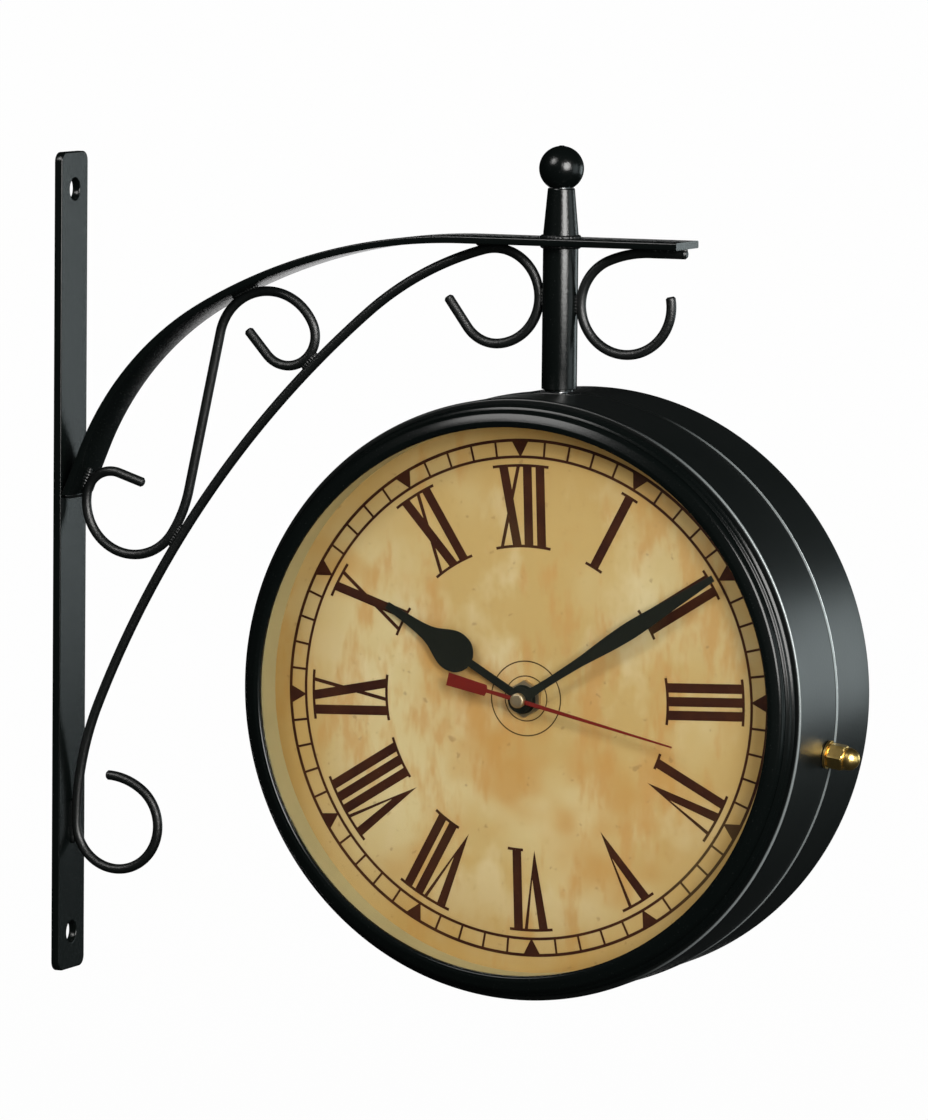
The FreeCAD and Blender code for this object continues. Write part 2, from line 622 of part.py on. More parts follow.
def hinge_leaf(label, forward, knuckles):
    """A leaf curved to the drum, with its knuckles on the pin's axis at the wall side."""
    sign = "-" if forward else ""
    body = new_body(label)
    plate = new_sketch(body, "XY")
    near = "(seam_back %s (knuckle_radius + free_gap))" % ("-" if forward else "+")
    far = "(seam_back %s hinge_leaf_width)" % ("-" if forward else "+")
    inner, outer = "-drum_radius", "-(drum_radius + hinge_leaf_wall)"
    draw_box(plate, outer, inner, near, far)
    add(body, "Revolution", plate, ReferenceAxis=(plate, ["V_Axis"]),
        Angle="2 * asin(hinge_height / 2 / drum_radius)", Midplane=True)
    for low, high in knuckles:
        height = "(%s) - (%s)" % (high, low)
        barrel = new_sketch(body, "XY", low)
        draw_circle(barrel, "-" + PIN_OUT, "seam_back", "knuckle_radius")
        pad(body, barrel, height)
        web = new_sketch(body, "XY", low)
        draw_box(web, "-" + PIN_OUT, "-(drum_radius + hinge_leaf_wall * 0.15)",
                 "seam_back", "seam_back %s (knuckle_radius + 1)" % ("-" if forward else "+"))
        pad(body, web, height)
    bore = new_sketch(body, "XY")
    gap = " + run_gap" if forward else ""
    draw_circle(bore, "-" + PIN_OUT, "seam_back", "pin_radius" + gap)
    pocket(body, bore, "hinge_height + 2", Midplane=True)
    return in_drum(body, FRONT)


def hinge():
    half, middle = "(hinge_height / 2)", "(knuckle_height / 2)"
    hinge_leaf("front_hinge_leaf", True, [("-" + middle, middle)])
    hinge_leaf("rear_hinge_leaf", False, [("-" + half, "-%s - free_gap" % middle),
                                          (middle + " + free_gap", half)])
    pin = ring("hinge_pin", "0", "pin_radius", "-(hinge_height / 2)", "hinge_height / 2", "Z")
    in_drum(pin, FRONT, x="-" + PIN_OUT)
    bind(pin, "Placement.Base.y", "seam_back")


def at_stud(piece):
    """Turns a piece made along Z to lie along the closing stud, out of the drum's free side."""
    in_drum(piece, FRONT, turn=90 + value("stud_angle"), back="stud_back")
    return piece


def closing():
    inside = "(%s - 1.5)" % HEAD_SEAT
    shank_end = "(%s + nut_length * 0.7)" % NUT_SEAT
    at_stud(lathe("closing_stud", [
        ("0", inside), ("stud_radius * 1.6", inside), ("stud_radius * 1.6", HEAD_SEAT),
        ("stud_radius", HEAD_SEAT), ("stud_radius", shank_end), ("0", shank_end)], "Z"))
    at_stud(ring("closing_washer", "stud_radius + run_gap", "closing_washer_radius", WASHER_SEAT,
                 WASHER_SEAT + " + closing_washer_height", "Z"))
    nut = new_body("dome_nut")
    hexagon = new_sketch(nut, "XY", NUT_SEAT)
    across = "nut_flats / sqrt(3)"
    draw_polygon(hexagon, [("%s * cos(%d)" % (across, a), "%s * sin(%d)" % (across, a))
                           for a in range(0, 360, 60)])
    pad(nut, hexagon, "nut_hex_length")
    dome = new_sketch(nut, "XZ")
    shoulder, top = NUT_SEAT + " + nut_hex_length", NUT_SEAT + " + nut_length"
    draw_polygon(dome, [("0", shoulder + " - 1"), ("nut_dome_radius * 0.9", shoulder + " - 1"),
                        ("nut_dome_radius * 0.9", shoulder + " + 0.4"),
                        ("nut_dome_radius", shoulder + " + 0.6"),
                        ("nut_dome_radius", top + " - nut_dome_radius * 0.75"),
                        ("nut_dome_radius * 0.87", top + " - nut_dome_radius * 0.35"),
                        ("nut_dome_radius * 0.55", top + " - nut_dome_radius * 0.08"),
                        ("nut_dome_radius * 0.3", top), ("0", top)])
    add(nut, "Revolution", dome, ReferenceAxis=(dome, ["V_Axis"]), Angle=360)
    bore = new_sketch(nut, "XY", NUT_SEAT)
    draw_circle(bore, "0", "0", "stud_radius + run_gap")
    pocket(nut, bore, "nut_length * 0.75", Reversed=True)
    at_stud(nut)


# ---- bezel, glass and dial of one side ---------------------------------------------------------

def bezel(side):
    """Ring with its stepped rim outside, the lip that holds the glass, and four bent tabs."""
    step = "(drum_radius - 1.7)"
    body = lathe("bezel_" + side, [
        (BEZEL_OUT, PLATE_BACK + " - sheet_wall"), (BEZEL_OUT, "flange_depth"),
        (step, "flange_depth"), (step, "flange_depth + 2.2"),
        (step + " - 0.9", "flange_depth + 3"), (step + " - 0.9", "flange_depth + 4"),
        (step + " - 1.6", "flange_depth + 4.4"), (step + " - 1.6", "lip_depth - 1.7"),
        (step + " - 2.6", "lip_depth - 0.5"), ("opening_radius + 1.2", "lip_depth"),
        ("opening_radius", "lip_depth - 0.7"), ("opening_radius", "glass_front"),
        ("bezel_bore", "glass_front"), ("bezel_bore", PLATE_BACK + " - sheet_wall")], "Y")
    tab = new_sketch(body, "XZ", PLATE_BACK + " - sheet_wall")
    draw_box(tab, "-tab_width / 2", "tab_width / 2", "bezel_bore - tab_reach",
             "bezel_bore + bezel_wall / 2")
    folded = pad(body, tab, "sheet_wall")
    polar(body, folded, tab, "4")
    return in_drum(body, side)


def dial_stack(side):
    in_drum(ring("glass_" + side, "0", "bezel_bore - free_gap", GLASS_BACK, "glass_front", "Y"), side)
    in_drum(ring("spacer_ring_" + side, "ring_bore", "ring_bore + ring_wall", "dial_depth",
                 GLASS_BACK, "Y"), side)
    in_drum(ring("dial_card_" + side, "bush_radius", "bezel_bore - free_gap", PLATE_FRONT,
                 "dial_depth", "Y"), side)
    in_drum(ring("dial_plate_" + side, "bush_radius", "bezel_bore - free_gap", PLATE_BACK,
                 PLATE_FRONT, "Y"), side)


# ---- quartz movement of one side -----------------------------------------------------------------

def square(sketch, low_z, high_z, inset):
    half = "(case_side / 2 - %s)" % inset
    draw_box(sketch, "-" + half, half, low_z, high_z)


def depth_edge(edge):
    """Picks straight edges that run along the drum's axis."""
    if len(edge.Vertexes) != 2:
        return False
    a, b = edge.Vertexes[0].Point, edge.Vertexes[1].Point
    return abs(a.y - b.y) > 1 and abs(a.x - b.x) + abs(a.z - b.z) < 0.01


def movement_case(side):
    """Open tray with a gear bay above and a battery bay below, and the motion wheel's post."""
    body = new_body("movement_case_" + side)
    low = "(-case_side / 2)"
    high = "(case_side / 2)"
    back = "(%s + cover_thickness)" % CASE_BACK
    block = new_sketch(body, "XZ", back)
    square(block, low, high, "0")
    pad(body, block, "%s - %s" % (CASE_FRONT, back))
    round_edges(body, "case_corner", depth_edge)
    for bottom, top in (("(%s + case_wall)" % low, BAY_CEILING),
                        ("(%s + case_wall)" % BAY_CEILING, "(%s - case_wall)" % high)):
        bay = new_sketch(body, "XZ", back)
        square(bay, bottom, top, "case_wall")
        pocket(body, bay, "%s - %s" % (BAY_FLOOR, back), Reversed=True)
    hole = new_sketch(body, "XZ", BAY_FLOOR)
    draw_circle(hole, "0", "0", "bush_radius")
    pocket(body, hole, "case_wall", Reversed=True)
    post = new_sketch(body, "XZ", "motion_level - wheel_width / 2")
    draw_circle(post, MOTION_GAP + " * cos(motion_angle)", MOTION_GAP + " * sin(motion_angle)",
                "post_radius")
    pad(body, post, "%s - (motion_level - wheel_width / 2)" % BAY_FLOOR)
    return in_drum(body, side)


def knob_place():
    """The setting knob stands a gear's distance from the motion wheel, a third of a right angle on."""
    return (MOTION_GAP + " * (cos(motion_angle) + cos(motion_angle - 120))",
            MOTION_GAP + " * (sin(motion_angle) + sin(motion_angle - 120))")


def movement_cover(side):
    body = new_body("movement_cover_" + side)
    plate = new_sketch(body, "XZ", CASE_BACK)
    square(plate, BAY_CEILING, "(case_side / 2)", "0")
    pad(body, plate, "cover_thickness")
    hole = new_sketch(body, "XZ", CASE_BACK)
    x, z = knob_place()
    draw_circle(hole, x, z, "knob_shaft + run_gap")
    pocket(body, hole, "cover_thickness", Reversed=True)
    return in_drum(body, side)


def battery(side):
    """One AA cell lying across the bottom of the movement."""
    end = "(battery_length / 2)"
    body = new_body("battery_" + side)
    profile = new_sketch(body, "XY")
    draw_polygon(profile, [("-" + end, "0"), ("-" + end, "battery_radius"),
                           (end + " - 1.5", "battery_radius"), (end + " - 1.5", "2.7"),
                           (end, "2.7"), (end, "0")])
    add(body, "Revolution", profile, ReferenceAxis=(profile, ["H_Axis"]), Angle=360)
    in_drum(body, side, z="-" + BATTERY_DROP, back=BATTERY_DEPTH)
    return body


def battery_contacts(side):
    """Two spring steel leaves, one at each end of the cell."""
    leaves = []
    for name, x in (("plus", "battery_length / 2"), ("minus", "-battery_length / 2 - contact_wall")):
        leaf = doc.addObject("Part::Box", "%s_leaf_%s" % (name, side))
        for prop, size in (("Length", "contact_wall"), ("Width", "contact_side"),
                           ("Height", "contact_side"), ("Placement.Base.x", x),
                           ("Placement.Base.y", "-contact_side / 2"),
                           ("Placement.Base.z", "-contact_side / 2")):
            bind(leaf, prop, size)
        leaves.append(leaf)
    pair = doc.addObject("Part::Compound", "battery_contacts_" + side)
    pair.Links = leaves
    pair.Label = "battery_contacts_" + side
    return in_drum(pair, side, z="-" + BATTERY_DROP, back=BATTERY_DEPTH)


def mounting(side):
    """Threaded bush through case, rubber pad and dial, with its nut on the dial."""
    in_drum(lathe("threaded_bush_" + side, [
        ("pipe_radius + run_gap", BAY_FLOOR + " - 1"), ("bush_flange", BAY_FLOOR + " - 1"),
        ("bush_flange", BAY_FLOOR), ("bush_radius", BAY_FLOOR), ("bush_radius", "bush_end"),
        ("pipe_radius + run_gap", "bush_end")], "Y"), side)
    in_drum(ring("rubber_pad_" + side, "bush_radius", "pad_radius", CASE_FRONT, PLATE_BACK, "Y"), side)
    in_drum(hex_nut("mounting_nut_" + side, "mounting_nut_flats", "dial_depth",
                    "dial_depth + mounting_nut_height", "bush_radius"), side)


# ---- motion work and hands -----------------------------------------------------------------------

def toothed(body, module, teeth, level, width, phase):
    """Adds a spur gear about the body's axis: a root disc and one tooth, patterned round it."""
    disc = new_sketch(body, "XZ", level)
    root = "%s * (%s / 2 - 1.2)" % (module, teeth)
    draw_circle(disc, "0", "0", root)
    pad(body, disc, width)
    tooth = new_sketch(body, "XZ", level)
    tip = "%s * (%s / 2 + 0.9)" % (module, teeth)
    corners = [("%s - %s * 0.3" % (root, module), "-%s * 0.95" % module), (tip, "-%s * 0.34" % module),
               (tip, "%s * 0.34" % module), ("%s - %s * 0.3" % (root, module), "%s * 0.95" % module)]
    turned = []
    for along, across in corners:
        turned.append(("(%s) * cos(%s) - (%s) * sin(%s)" % (along, phase, across, phase),
                       "(%s) * sin(%s) + (%s) * cos(%s)" % (along, phase, across, phase)))
    draw_polygon(tooth, turned)
    one = pad(body, tooth, width)
    return polar(body, one, tooth, teeth)


def bore_through(body, radius, low, high):
    hole = new_sketch(body, "XZ", low)
    draw_circle(hole, "0", "0", radius)
    pocket(body, hole, "(%s) - (%s)" % (high, low), Reversed=True)


def shaft(body, radius, low, high):
    disc = new_sketch(body, "XZ", low)
    draw_circle(disc, "0", "0", radius)
    pad(body, disc, "(%s) - (%s)" % (high, low))


def motion_work(side):
    # hour wheel on its pipe, a tooth gap facing the motion wheel
    hour_end = "(hour_hand_level + hand_thickness + 0.2)"
    hour = new_body("hour_wheel_" + side)
    toothed(hour, "hour_module", "hour_teeth", "hour_level", "wheel_width",
            "(motion_angle + 180 / hour_teeth)")
    shaft(hour, "pipe_radius", "hour_level", hour_end)
    bore_through(hour, "arbor_radius + run_gap", "hour_level", hour_end)
    in_drum(hour, side)
    # cannon pinion on the minute arbor, a tooth facing the motion wheel
    minute_end = "(minute_hand_level + hand_thickness + 0.2)"
    level = "(motion_level - 0.2)"
    minute = new_body("minute_arbor_" + side)
    toothed(minute, "drive_module", "pinion_teeth", level, "pinion_width", "motion_angle")
    shaft(minute, "arbor_radius", level, minute_end)
    bore_through(minute, "second_radius + run_gap", level, minute_end)
    in_drum(minute, side)
    # motion wheel and its pinion, turning on the case's post
    motion = new_body("motion_wheel_" + side)
    toothed(motion, "drive_module", "motion_teeth", "motion_level", "wheel_width",
            "(motion_angle + 180 + 180 / motion_teeth)")
    pinion_level = "(hour_level - 0.2)"
    shaft(motion, "hour_module * (pinion_teeth / 2 - 1.2)", "motion_level", pinion_level + " + 0.1")
    toothed(motion, "hour_module", "pinion_teeth", pinion_level, "pinion_width",
            "(motion_angle + 180)")
    bore_through(motion, WHEEL_BORE, "motion_level", pinion_level + " + pinion_width")
    in_drum(motion, side, x=MOTION_GAP + " * cos(motion_angle)", z=MOTION_GAP + " * sin(motion_angle)")
    # setting knob outside the cover, its pinion in the same wheel
    knob = new_body("setting_knob_" + side)
    toothed(knob, "drive_module", "pinion_teeth", level, "pinion_width", "(motion_angle + 60)")
    shaft(knob, "knob_shaft", "(%s - free_gap - 0.5)" % CASE_BACK, level)
    shaft(knob, "knob_radius", "(%s - free_gap - knob_height)" % CASE_BACK, "(%s - free_gap)" % CASE_BACK)
    x, z = knob_place()
    in_drum(knob, side, x=x, z=z)


def hand_blade(label, stations, hub, level, bore):
    """A stamped hand that points up: arcs through three points down each side, and a round hub."""
    body = new_body(label)
    blade = new_sketch(body, "XZ", level)
    outline = Outline((-stations[0][1], stations[0][0]))
    outline.line((stations[0][1], stations[0][0]))
    for sign, order in ((1, stations), (-1, stations[::-1])):
        for start, middle, end in zip(order[:-2:2], order[1:-1:2], order[2::2]):
            outline.edges.append(Part.Arc(FreeCAD.Vector(sign * start[1], start[0], 0),
                                          FreeCAD.Vector(sign * middle[1], middle[0], 0),
                                          FreeCAD.Vector(sign * end[1], end[0], 0)))
        if sign == 1:
            outline.here = (order[-1][1], order[-1][0])
            outline.line((-order[-1][1], order[-1][0]))
    for edge in outline.edges:
        blade.addGeometry(edge, False)
    pad(body, blade, "hand_thickness")
    shaft(body, hub, level, level + " + hand_thickness")
    bore_through(body, bore, level, level + " + hand_thickness")
    return body


def hands(side):
    hour, minute = value("hour_reach"), value("minute_reach")
    # (distance from the centre, half width) down one side, two steps to each arc
    hour_stations = [(0, 1.35), (hour * 0.19, 1.3), (hour * 0.38, 1.5), (hour * 0.42, 4.6),
                     (hour * 0.50, 6.9), (hour * 0.59, 5.7), (hour * 0.67, 3.4), (hour * 0.80, 1.9),
                     (hour, 1.25)]
    minute_stations = [(0, 1.35), (minute * 0.15, 1.35), (minute * 0.30, 1.6), (minute * 0.45, 2.5),
                       (minute * 0.58, 2.95), (minute * 0.76, 2.3), (minute, 1.1)]
    hour_hand = hand_blade("hour_hand_" + side, hour_stations, "pipe_radius + 2.4",
                           "hour_hand_level", "pipe_radius")
    in_drum(hour_hand, side, turn=value("hour_angle"))
    minute_hand = hand_blade("minute_hand_" + side, minute_stations, "pipe_radius + 1.9",
                             "minute_hand_level", "arbor_radius")
    in_drum(minute_hand, side, turn=value("minute_angle"))
    second = new_body("second_hand_" + side)
    needle = new_sketch(second, "XZ", "second_hand_level")
    draw_polygon(needle, [("-0.6", "-12"), ("-2", "-12.6"), ("-2.2", "-second_tail"),
                          ("2.2", "-second_tail"), ("2", "-12.6"), ("0.6", "-12"), ("0.6", "0"),
                          ("0.25", "second_reach"), ("-0.25", "second_reach"), ("-0.6", "0")])
    pad(second, needle, "hand_thickness")
    boss_low = "(minute_hand_level + hand_thickness + 0.5)"
    shaft(second, "second_boss_radius", boss_low, "second_boss_end")
    shaft(second, "second_radius", "motion_level - 2", boss_low)
    in_drum(second, side, turn=value("second_angle"))


# ---- assembly --------------------------------------------------------------------------------------

wall_bar()
arm_strip()
brace_scroll()
ess_scroll()
end_scroll()
post_and_finial()
hanger()
front_shell()
rear_shell()
saddle_plate()
hinge()
closing()
for half_name in (FRONT, REAR):
    bezel(half_name)
    dial_stack(half_name)
    movement_case(half_name)
    movement_cover(half_name)
    battery(half_name)
    battery_contacts(half_name)
    mounting(half_name)
    motion_work(half_name)
    hands(half_name)
doc.recompute()

for thing in doc.Objects:
    if "Invalid" in thing.State or "Error" in thing.State:
        raise RuntimeError("%s failed: %s" % (thing.Label, thing.State))

os.makedirs("parts", exist_ok=True)
nodes = [o for o in doc.Objects if o.TypeId in ("PartDesign::Body", "Part::Compound")]
for node in nodes:
    if node.Shape.isNull() or not node.Shape.isValid():
        raise RuntimeError("%s has no valid shape" % node.Label)
for node in nodes:
    node.Shape.exportStep("parts/%s.step" % node.Label)
print("%d pieces" % len(nodes))
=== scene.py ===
import bpy
import math
import numpy as np
from mathutils import Matrix


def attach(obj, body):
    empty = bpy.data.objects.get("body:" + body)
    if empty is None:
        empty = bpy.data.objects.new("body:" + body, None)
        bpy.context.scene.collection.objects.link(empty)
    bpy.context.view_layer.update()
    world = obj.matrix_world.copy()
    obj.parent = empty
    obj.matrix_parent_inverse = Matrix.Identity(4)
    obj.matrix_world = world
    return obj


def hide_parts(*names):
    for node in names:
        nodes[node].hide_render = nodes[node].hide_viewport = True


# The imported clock: every solid of it is here, in metres, in the clock's own frame. +X leaves the
# wall, +Z is up, and the front dial faces -Y.
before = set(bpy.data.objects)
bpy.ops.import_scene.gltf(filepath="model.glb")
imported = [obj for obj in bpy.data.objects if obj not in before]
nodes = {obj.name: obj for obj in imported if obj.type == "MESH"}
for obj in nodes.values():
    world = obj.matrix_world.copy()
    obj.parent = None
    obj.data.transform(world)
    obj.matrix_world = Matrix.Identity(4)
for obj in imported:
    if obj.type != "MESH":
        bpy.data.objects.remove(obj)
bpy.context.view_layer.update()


# ---- camera ----
# A long lens, well back, to the right of the front dial and a little above it. The lens points
# slightly past the drum, so that the wall bar comes into the frame too.

def pose(columns, origin):
    """The matrix that carries own axes onto three directions and the own origin to a point."""
    step = np.eye(4)
    step[:3, :3], step[:3, 3] = np.array(columns, float).T, origin
    return Matrix(step.tolist())


def put(name, data):
    """A new object in the scene, from a mesh, a curve, a lamp or a camera."""
    made = bpy.data.objects.new(name, data)
    bpy.context.scene.collection.objects.link(made)
    return made


DRUM = np.array([0.186, 0.0, -0.035])
turn, rise, distance = math.radians(22.86), math.radians(6.60), 2.5
eye = DRUM + distance * np.array([math.sin(turn) * math.cos(rise),
                                  -math.cos(turn) * math.cos(rise), math.sin(rise)])
yaw, pitch, roll = turn + 0.0127, rise - 0.0176, 0.0101
ahead = np.array([-math.sin(yaw) * math.cos(pitch), math.cos(yaw) * math.cos(pitch),
                  -math.sin(pitch)])
across = np.cross(ahead, [0, 0, 1])
across /= np.linalg.norm(across)
above = np.cross(across, ahead)
across, above = (math.cos(roll) * across + math.sin(roll) * above,
                 math.cos(roll) * above - math.sin(roll) * across)
camera = put("camera", bpy.data.cameras.new("camera"))
camera.data.sensor_fit = "HORIZONTAL"
camera.data.sensor_width = 36
FOCAL_PIXELS, PICTURE_PIXELS = 7370, 928
camera.data.lens = camera.data.sensor_width * FOCAL_PIXELS / PICTURE_PIXELS
camera.matrix_world = pose((across, above, -ahead), eye)
bpy.context.scene.camera = camera
bpy.context.scene.view_settings.view_transform = "Standard"


# ---- studio ----
# A dim room with a roll of white paper behind the clock, a large key from the front right, a fill
# from the left and a soft box behind on the right, which draws the light along the drum's side.

class Wire:
    """An output of a shader node. Python's operators on it add Math nodes."""

    def __init__(self, paint, socket):
        self.paint, self.socket = paint, socket

    def maths(self, operation, other=0.0, clamp=False):
        return self.paint.node("Math", {"operation": operation, "use_clamp": clamp},
                               {0: self, 1: other})

    def __add__(self, other):
        return self.maths("ADD", other)

    def __sub__(self, other):
        return self.maths("SUBTRACT", other)

    def __rsub__(self, other):
        return self.paint.node("Math", {"operation": "SUBTRACT"}, {0: other, 1: self})

    def __mul__(self, other):
        return self.maths("MULTIPLY", other)

    def clamped(self):
        return self.maths("ADD", clamp=True)

    __radd__ = __add__
    __rmul__ = __mul__


CAMERA, GLOSSY, THROUGH = 0, 3, 6   # outputs of the Light Path node


class Paint:
    """A node tree that is being filled, for a material or for the world."""

    def __init__(self, owner):
        self.owner = owner
        owner.use_nodes = True
        self.tree = owner.node_tree
        self.tree.nodes.clear()

    def node(self, kind, settings=None, inputs=None, out=0):
        """Adds a node: its settings first, then its inputs, as values or wires."""
        made = self.tree.nodes.new("ShaderNode" + kind)
        for name, setting in (settings or {}).items():
            setattr(made, name, setting)
        for name, what in (inputs or {}).items():
            if isinstance(what, Wire):
                self.tree.links.new(what.socket, made.inputs[name])
            else:
                made.inputs[name].default_value = what
        return Wire(self, made.outputs[out]) if made.outputs else made

    def blend(self, share, first, second):
        """Mixes two colours, RGBA or wires, by a share."""
        return self.node("Mix", {"data_type": "RGBA"}, {0: share, 6: first, 7: second}, out=2)

    def spot(self, scale, detail=2.0, rough=0.5, stretch=(1, 1, 1), centre=(0, 0, 0)):
        """Cloudy noise in the piece's own metres, stretched along its axes."""
        where = self.node("TexCoord", out=3)
        mapped = self.node("Mapping", None, {"Vector": where, "Location": centre, "Scale": stretch})
        return self.node("TexNoise", None, {"Vector": mapped, "Scale": scale, "Detail": detail,
                                            "Roughness": rough})

    def apart(self, vector):
        """The three coordinates of a vector, as wires."""
        split = self.node("SeparateXYZ", None, {0: vector})
        return [Wire(self, split.socket.node.outputs[i]) for i in range(3)]

    def place(self):
        """Where the point is, from the middle of the drum: right, back and up."""
        return self.apart(self.node("Mapping", None, {
            "Vector": self.node("TexCoord", out=3), "Location": tuple(-DRUM)}))

    def ray(self, *kinds):
        """1 for rays of the given kinds and 0 for all others."""
        return sum(self.node("LightPath", out=kind) for kind in kinds).clamped()

    def ramp(self, wire, low, high):
        """0 below low, 1 above high, smooth between."""
        return self.node("MapRange", {"interpolation_type": "SMOOTHSTEP"},
                         {0: wire, 1: low, 2: high, 3: 0.0, 4: 1.0})

    def bump(self, height, depth, strength=1.0):
        return self.node("Bump", None,
                         {"Height": height, "Distance": depth, "Strength": strength})

    def finish(self, surface, target="OutputMaterial"):
        self.node(target, None, {0: surface})
        return self.owner


def material(name, **sockets):
    """A material with one Principled shader. Keys are its sockets, with _ for a space."""
    paint = Paint(bpy.data.materials.new(name))
    return paint, (lambda **more: paint.finish(paint.node(
        "BsdfPrincipled", None,
        {key.replace("_", " "): what for key, what in {**sockets, **more}.items()})))


def paper_surface():
    """A roll of paper along the camera's line of sight: level, a quarter circle, then upright."""
    width, start, bend_at, bend, floor_z, top = 1.35, 2.6, 3.4, 0.8, -0.75, 0.25
    angle = np.linspace(-np.pi / 2, 0, 24)
    curve = np.c_[bend_at + bend * np.cos(angle), floor_z + bend + bend * np.sin(angle)]
    run = np.concatenate([[[start, floor_z]], curve, [[bend_at + bend, top]]])
    away = np.array([-math.sin(turn), math.cos(turn)])
    aside = np.array([away[1], -away[0]])
    side = np.array([-width / 2, width / 2])[:, None, None]
    flat = DRUM[:2] + side * aside + run[None, :, 0, None] * away
    height = np.broadcast_to(run[None, :, 1, None], flat.shape[:2] + (1,))
    return np.concatenate([flat, height], axis=-1)


def grid_faces(rows, columns, wrap_rows=False, wrap_columns=False):
    """Quads of a rows by columns grid of points, joined round where asked, as an array."""
    i = np.arange(rows if wrap_rows else rows - 1)[:, None]
    j = np.arange(columns if wrap_columns else columns - 1)[None, :]
    ni, nj = (i + 1) % rows, (j + 1) % columns
    quads = np.stack([i * columns + j, ni * columns + j, ni * columns + nj, i * columns + nj], -1)
    return quads.reshape(-1, 4)


def mesh_of(points, faces):
    """A mesh from an array of points, a grid of them too, and a list of faces."""
    mesh = bpy.data.meshes.new("mesh")
    mesh.from_pydata(points.reshape(-1, 3).tolist(), [], faces)
    mesh.update()
    return mesh


sheet = paper_surface()
paper = mesh_of(sheet, grid_faces(*sheet.shape[:2]).tolist())
paper.shade_smooth()
floor = put("paper_roll", paper)
pale = Paint(bpy.data.materials.new("white_paper"))
fibres = pale.spot(300)
matt = pale.node("BsdfPrincipled", None, {
    "Base Color": pale.blend(fibres, (0.84, 0.84, 0.83, 1), (0.87, 0.87, 0.86, 1)),
    "Roughness": 0.9, "Specular IOR Level": 0.1})
white = pale.node("Emission", None, {"Color": (1, 1, 1, 1), "Strength": 1.0})
seen = pale.ray(CAMERA, GLOSSY, THROUGH) * 0.97
paper.materials.append(pale.finish(pale.node("MixShader", None, {0: seen, 1: matt, 2: white})))

sky = Paint(bpy.data.worlds.new("studio"))
bpy.context.scene.world = sky.owner
tx, ty, tz = sky.apart(sky.node("TexCoord", out=0))
level = 1.0 - sky.ramp(tz.maths("ABSOLUTE"), 0.12, 0.45)
beyond = sky.ramp(ty + tx * 0.8, 0.55, 1.1)
room = level * beyond * 0.06 + 0.006
glossy_ray = sky.ray(GLOSSY)
seen_white = sky.ray(CAMERA, THROUGH)
strength = seen_white + (1.0 - seen_white) * (glossy_ray * room + (1.0 - glossy_ray) * 0.40)
cast = sky.blend(glossy_ray, (1, 1, 1, 1), (0.82, 1.0, 1.0, 1))
sky.finish(sky.node("Background", None, {"Color": cast, "Strength": strength}), "OutputWorld")


def soft_box(name, at, size, power, aim=DRUM, colour=(0.86, 0.98, 1.0)):
    """A rectangular lamp that faces the drum."""
    lamp = bpy.data.lights.new(name, "AREA")
    lamp.shape, lamp.size, lamp.size_y, lamp.energy = "RECTANGLE", size[0], size[1], power
    lamp.color = colour
    back = np.array(at) - np.array(aim)
    back /= np.linalg.norm(back)
    side = np.cross([0, 0, 1], back)
    side /= np.linalg.norm(side)
    put(name, lamp).matrix_world = pose((side, np.cross(back, side), back), at)


soft_box("key_front", (2.15, -1.6, 0.75), (1.5, 1.5), 135, colour=(1, 0.99, 0.97))
soft_box("fill_front", (-0.9, -2.2, 2.0), (1.2, 1.2), 50, colour=(1, 0.99, 0.97))
soft_box("right_panel", (2.3, 0.35, 0.1), (1.3, 1.3), 7, aim=(0.2, 0, 0))
soft_box("side_box", (0.93, 1.13, 0.01), (0.56, 0.44), 1.9, aim=(0.29, 0, -0.03))


# ---- enamel ----
# Bracket and drum are sprayed with one black gloss enamel with a green-grey cast. It is smooth on
# the pressed sheet, and a little coarse on the bars and rods, where it was sprayed over mill scale.

def painted_edge_highlight(paint):
    """A painted highlight on the enamel: bright bare metal laid on the side away from the wall
    only, on the seam's rolled edge, which stands out a little, and round the corner of either face."""
    x, y, z = paint.place()
    out = (x * x + z * z).maths("SQRT")
    corner = paint.ramp(y.maths("ABSOLUTE"), 0.0316, 0.0321) * paint.ramp(out, 0.1006, 0.1012)
    highlight_lines = (paint.ramp(out, 0.10156, 0.10172) + corner * 0.6).clamped()
    return highlight_lines * paint.ramp(x, 0.035, 0.088) * 0.68


def enamel(name, grain, orange_peel, rough, shine=0.5, edges=None):
    """Black enamel. grain is the height of the mill scale below it, and edges, where given, makes
    the mask of a painted highlight of bright metal on the edges."""
    paint, done = material(name, Specular_IOR_Level=shine)
    peel = paint.spot(950, 2.0)
    cloud = paint.spot(22, 3.0, 0.6)
    mill = paint.spot(1500, 4.0, 0.65)
    dust = paint.ramp(paint.spot(2600, 1.0), 0.70, 0.78)
    shade = paint.blend(cloud, (0.0010, 0.0016, 0.0015, 1), (0.0020, 0.0028, 0.0026, 1))
    shade = paint.blend(dust * 0.03, shade, (0.25, 0.26, 0.25, 1))
    height = peel * orange_peel + mill * grain
    highlight_share = edges(paint) if edges else 0.0
    # painted highlight: a bright metal colour where the edge mask is high
    if edges:
        shade = paint.blend(highlight_share, shade, (0.42, 0.46, 0.46, 1))
    return done(Base_Color=shade, Metallic=highlight_share, Roughness=rough + cloud * 0.08 + dust * 0.1,
                Normal=paint.bump(height, 0.00012))


# the drum's enamel carries a painted highlight on its edges, on the side away from the wall
sheet_enamel = enamel("sheet_enamel", 0.04, 0.16, 0.31, shine=0.42, edges=painted_edge_highlight)
lip_enamel = enamel("lip_enamel", 0.03, 0.10, 0.15, shine=0.22)
bar_enamel = enamel("bar_enamel", 0.40, 0.30, 0.16, shine=0.34)
rod_enamel = enamel("rod_enamel", 1.1, 0.5, 0.33)


# ---- wall bar ----
# Flat steel bar, 20 by 3 mm, sheared to length with its corners knocked off. Two screw holes are
# drilled through it, and every edge is rounded by the paint.


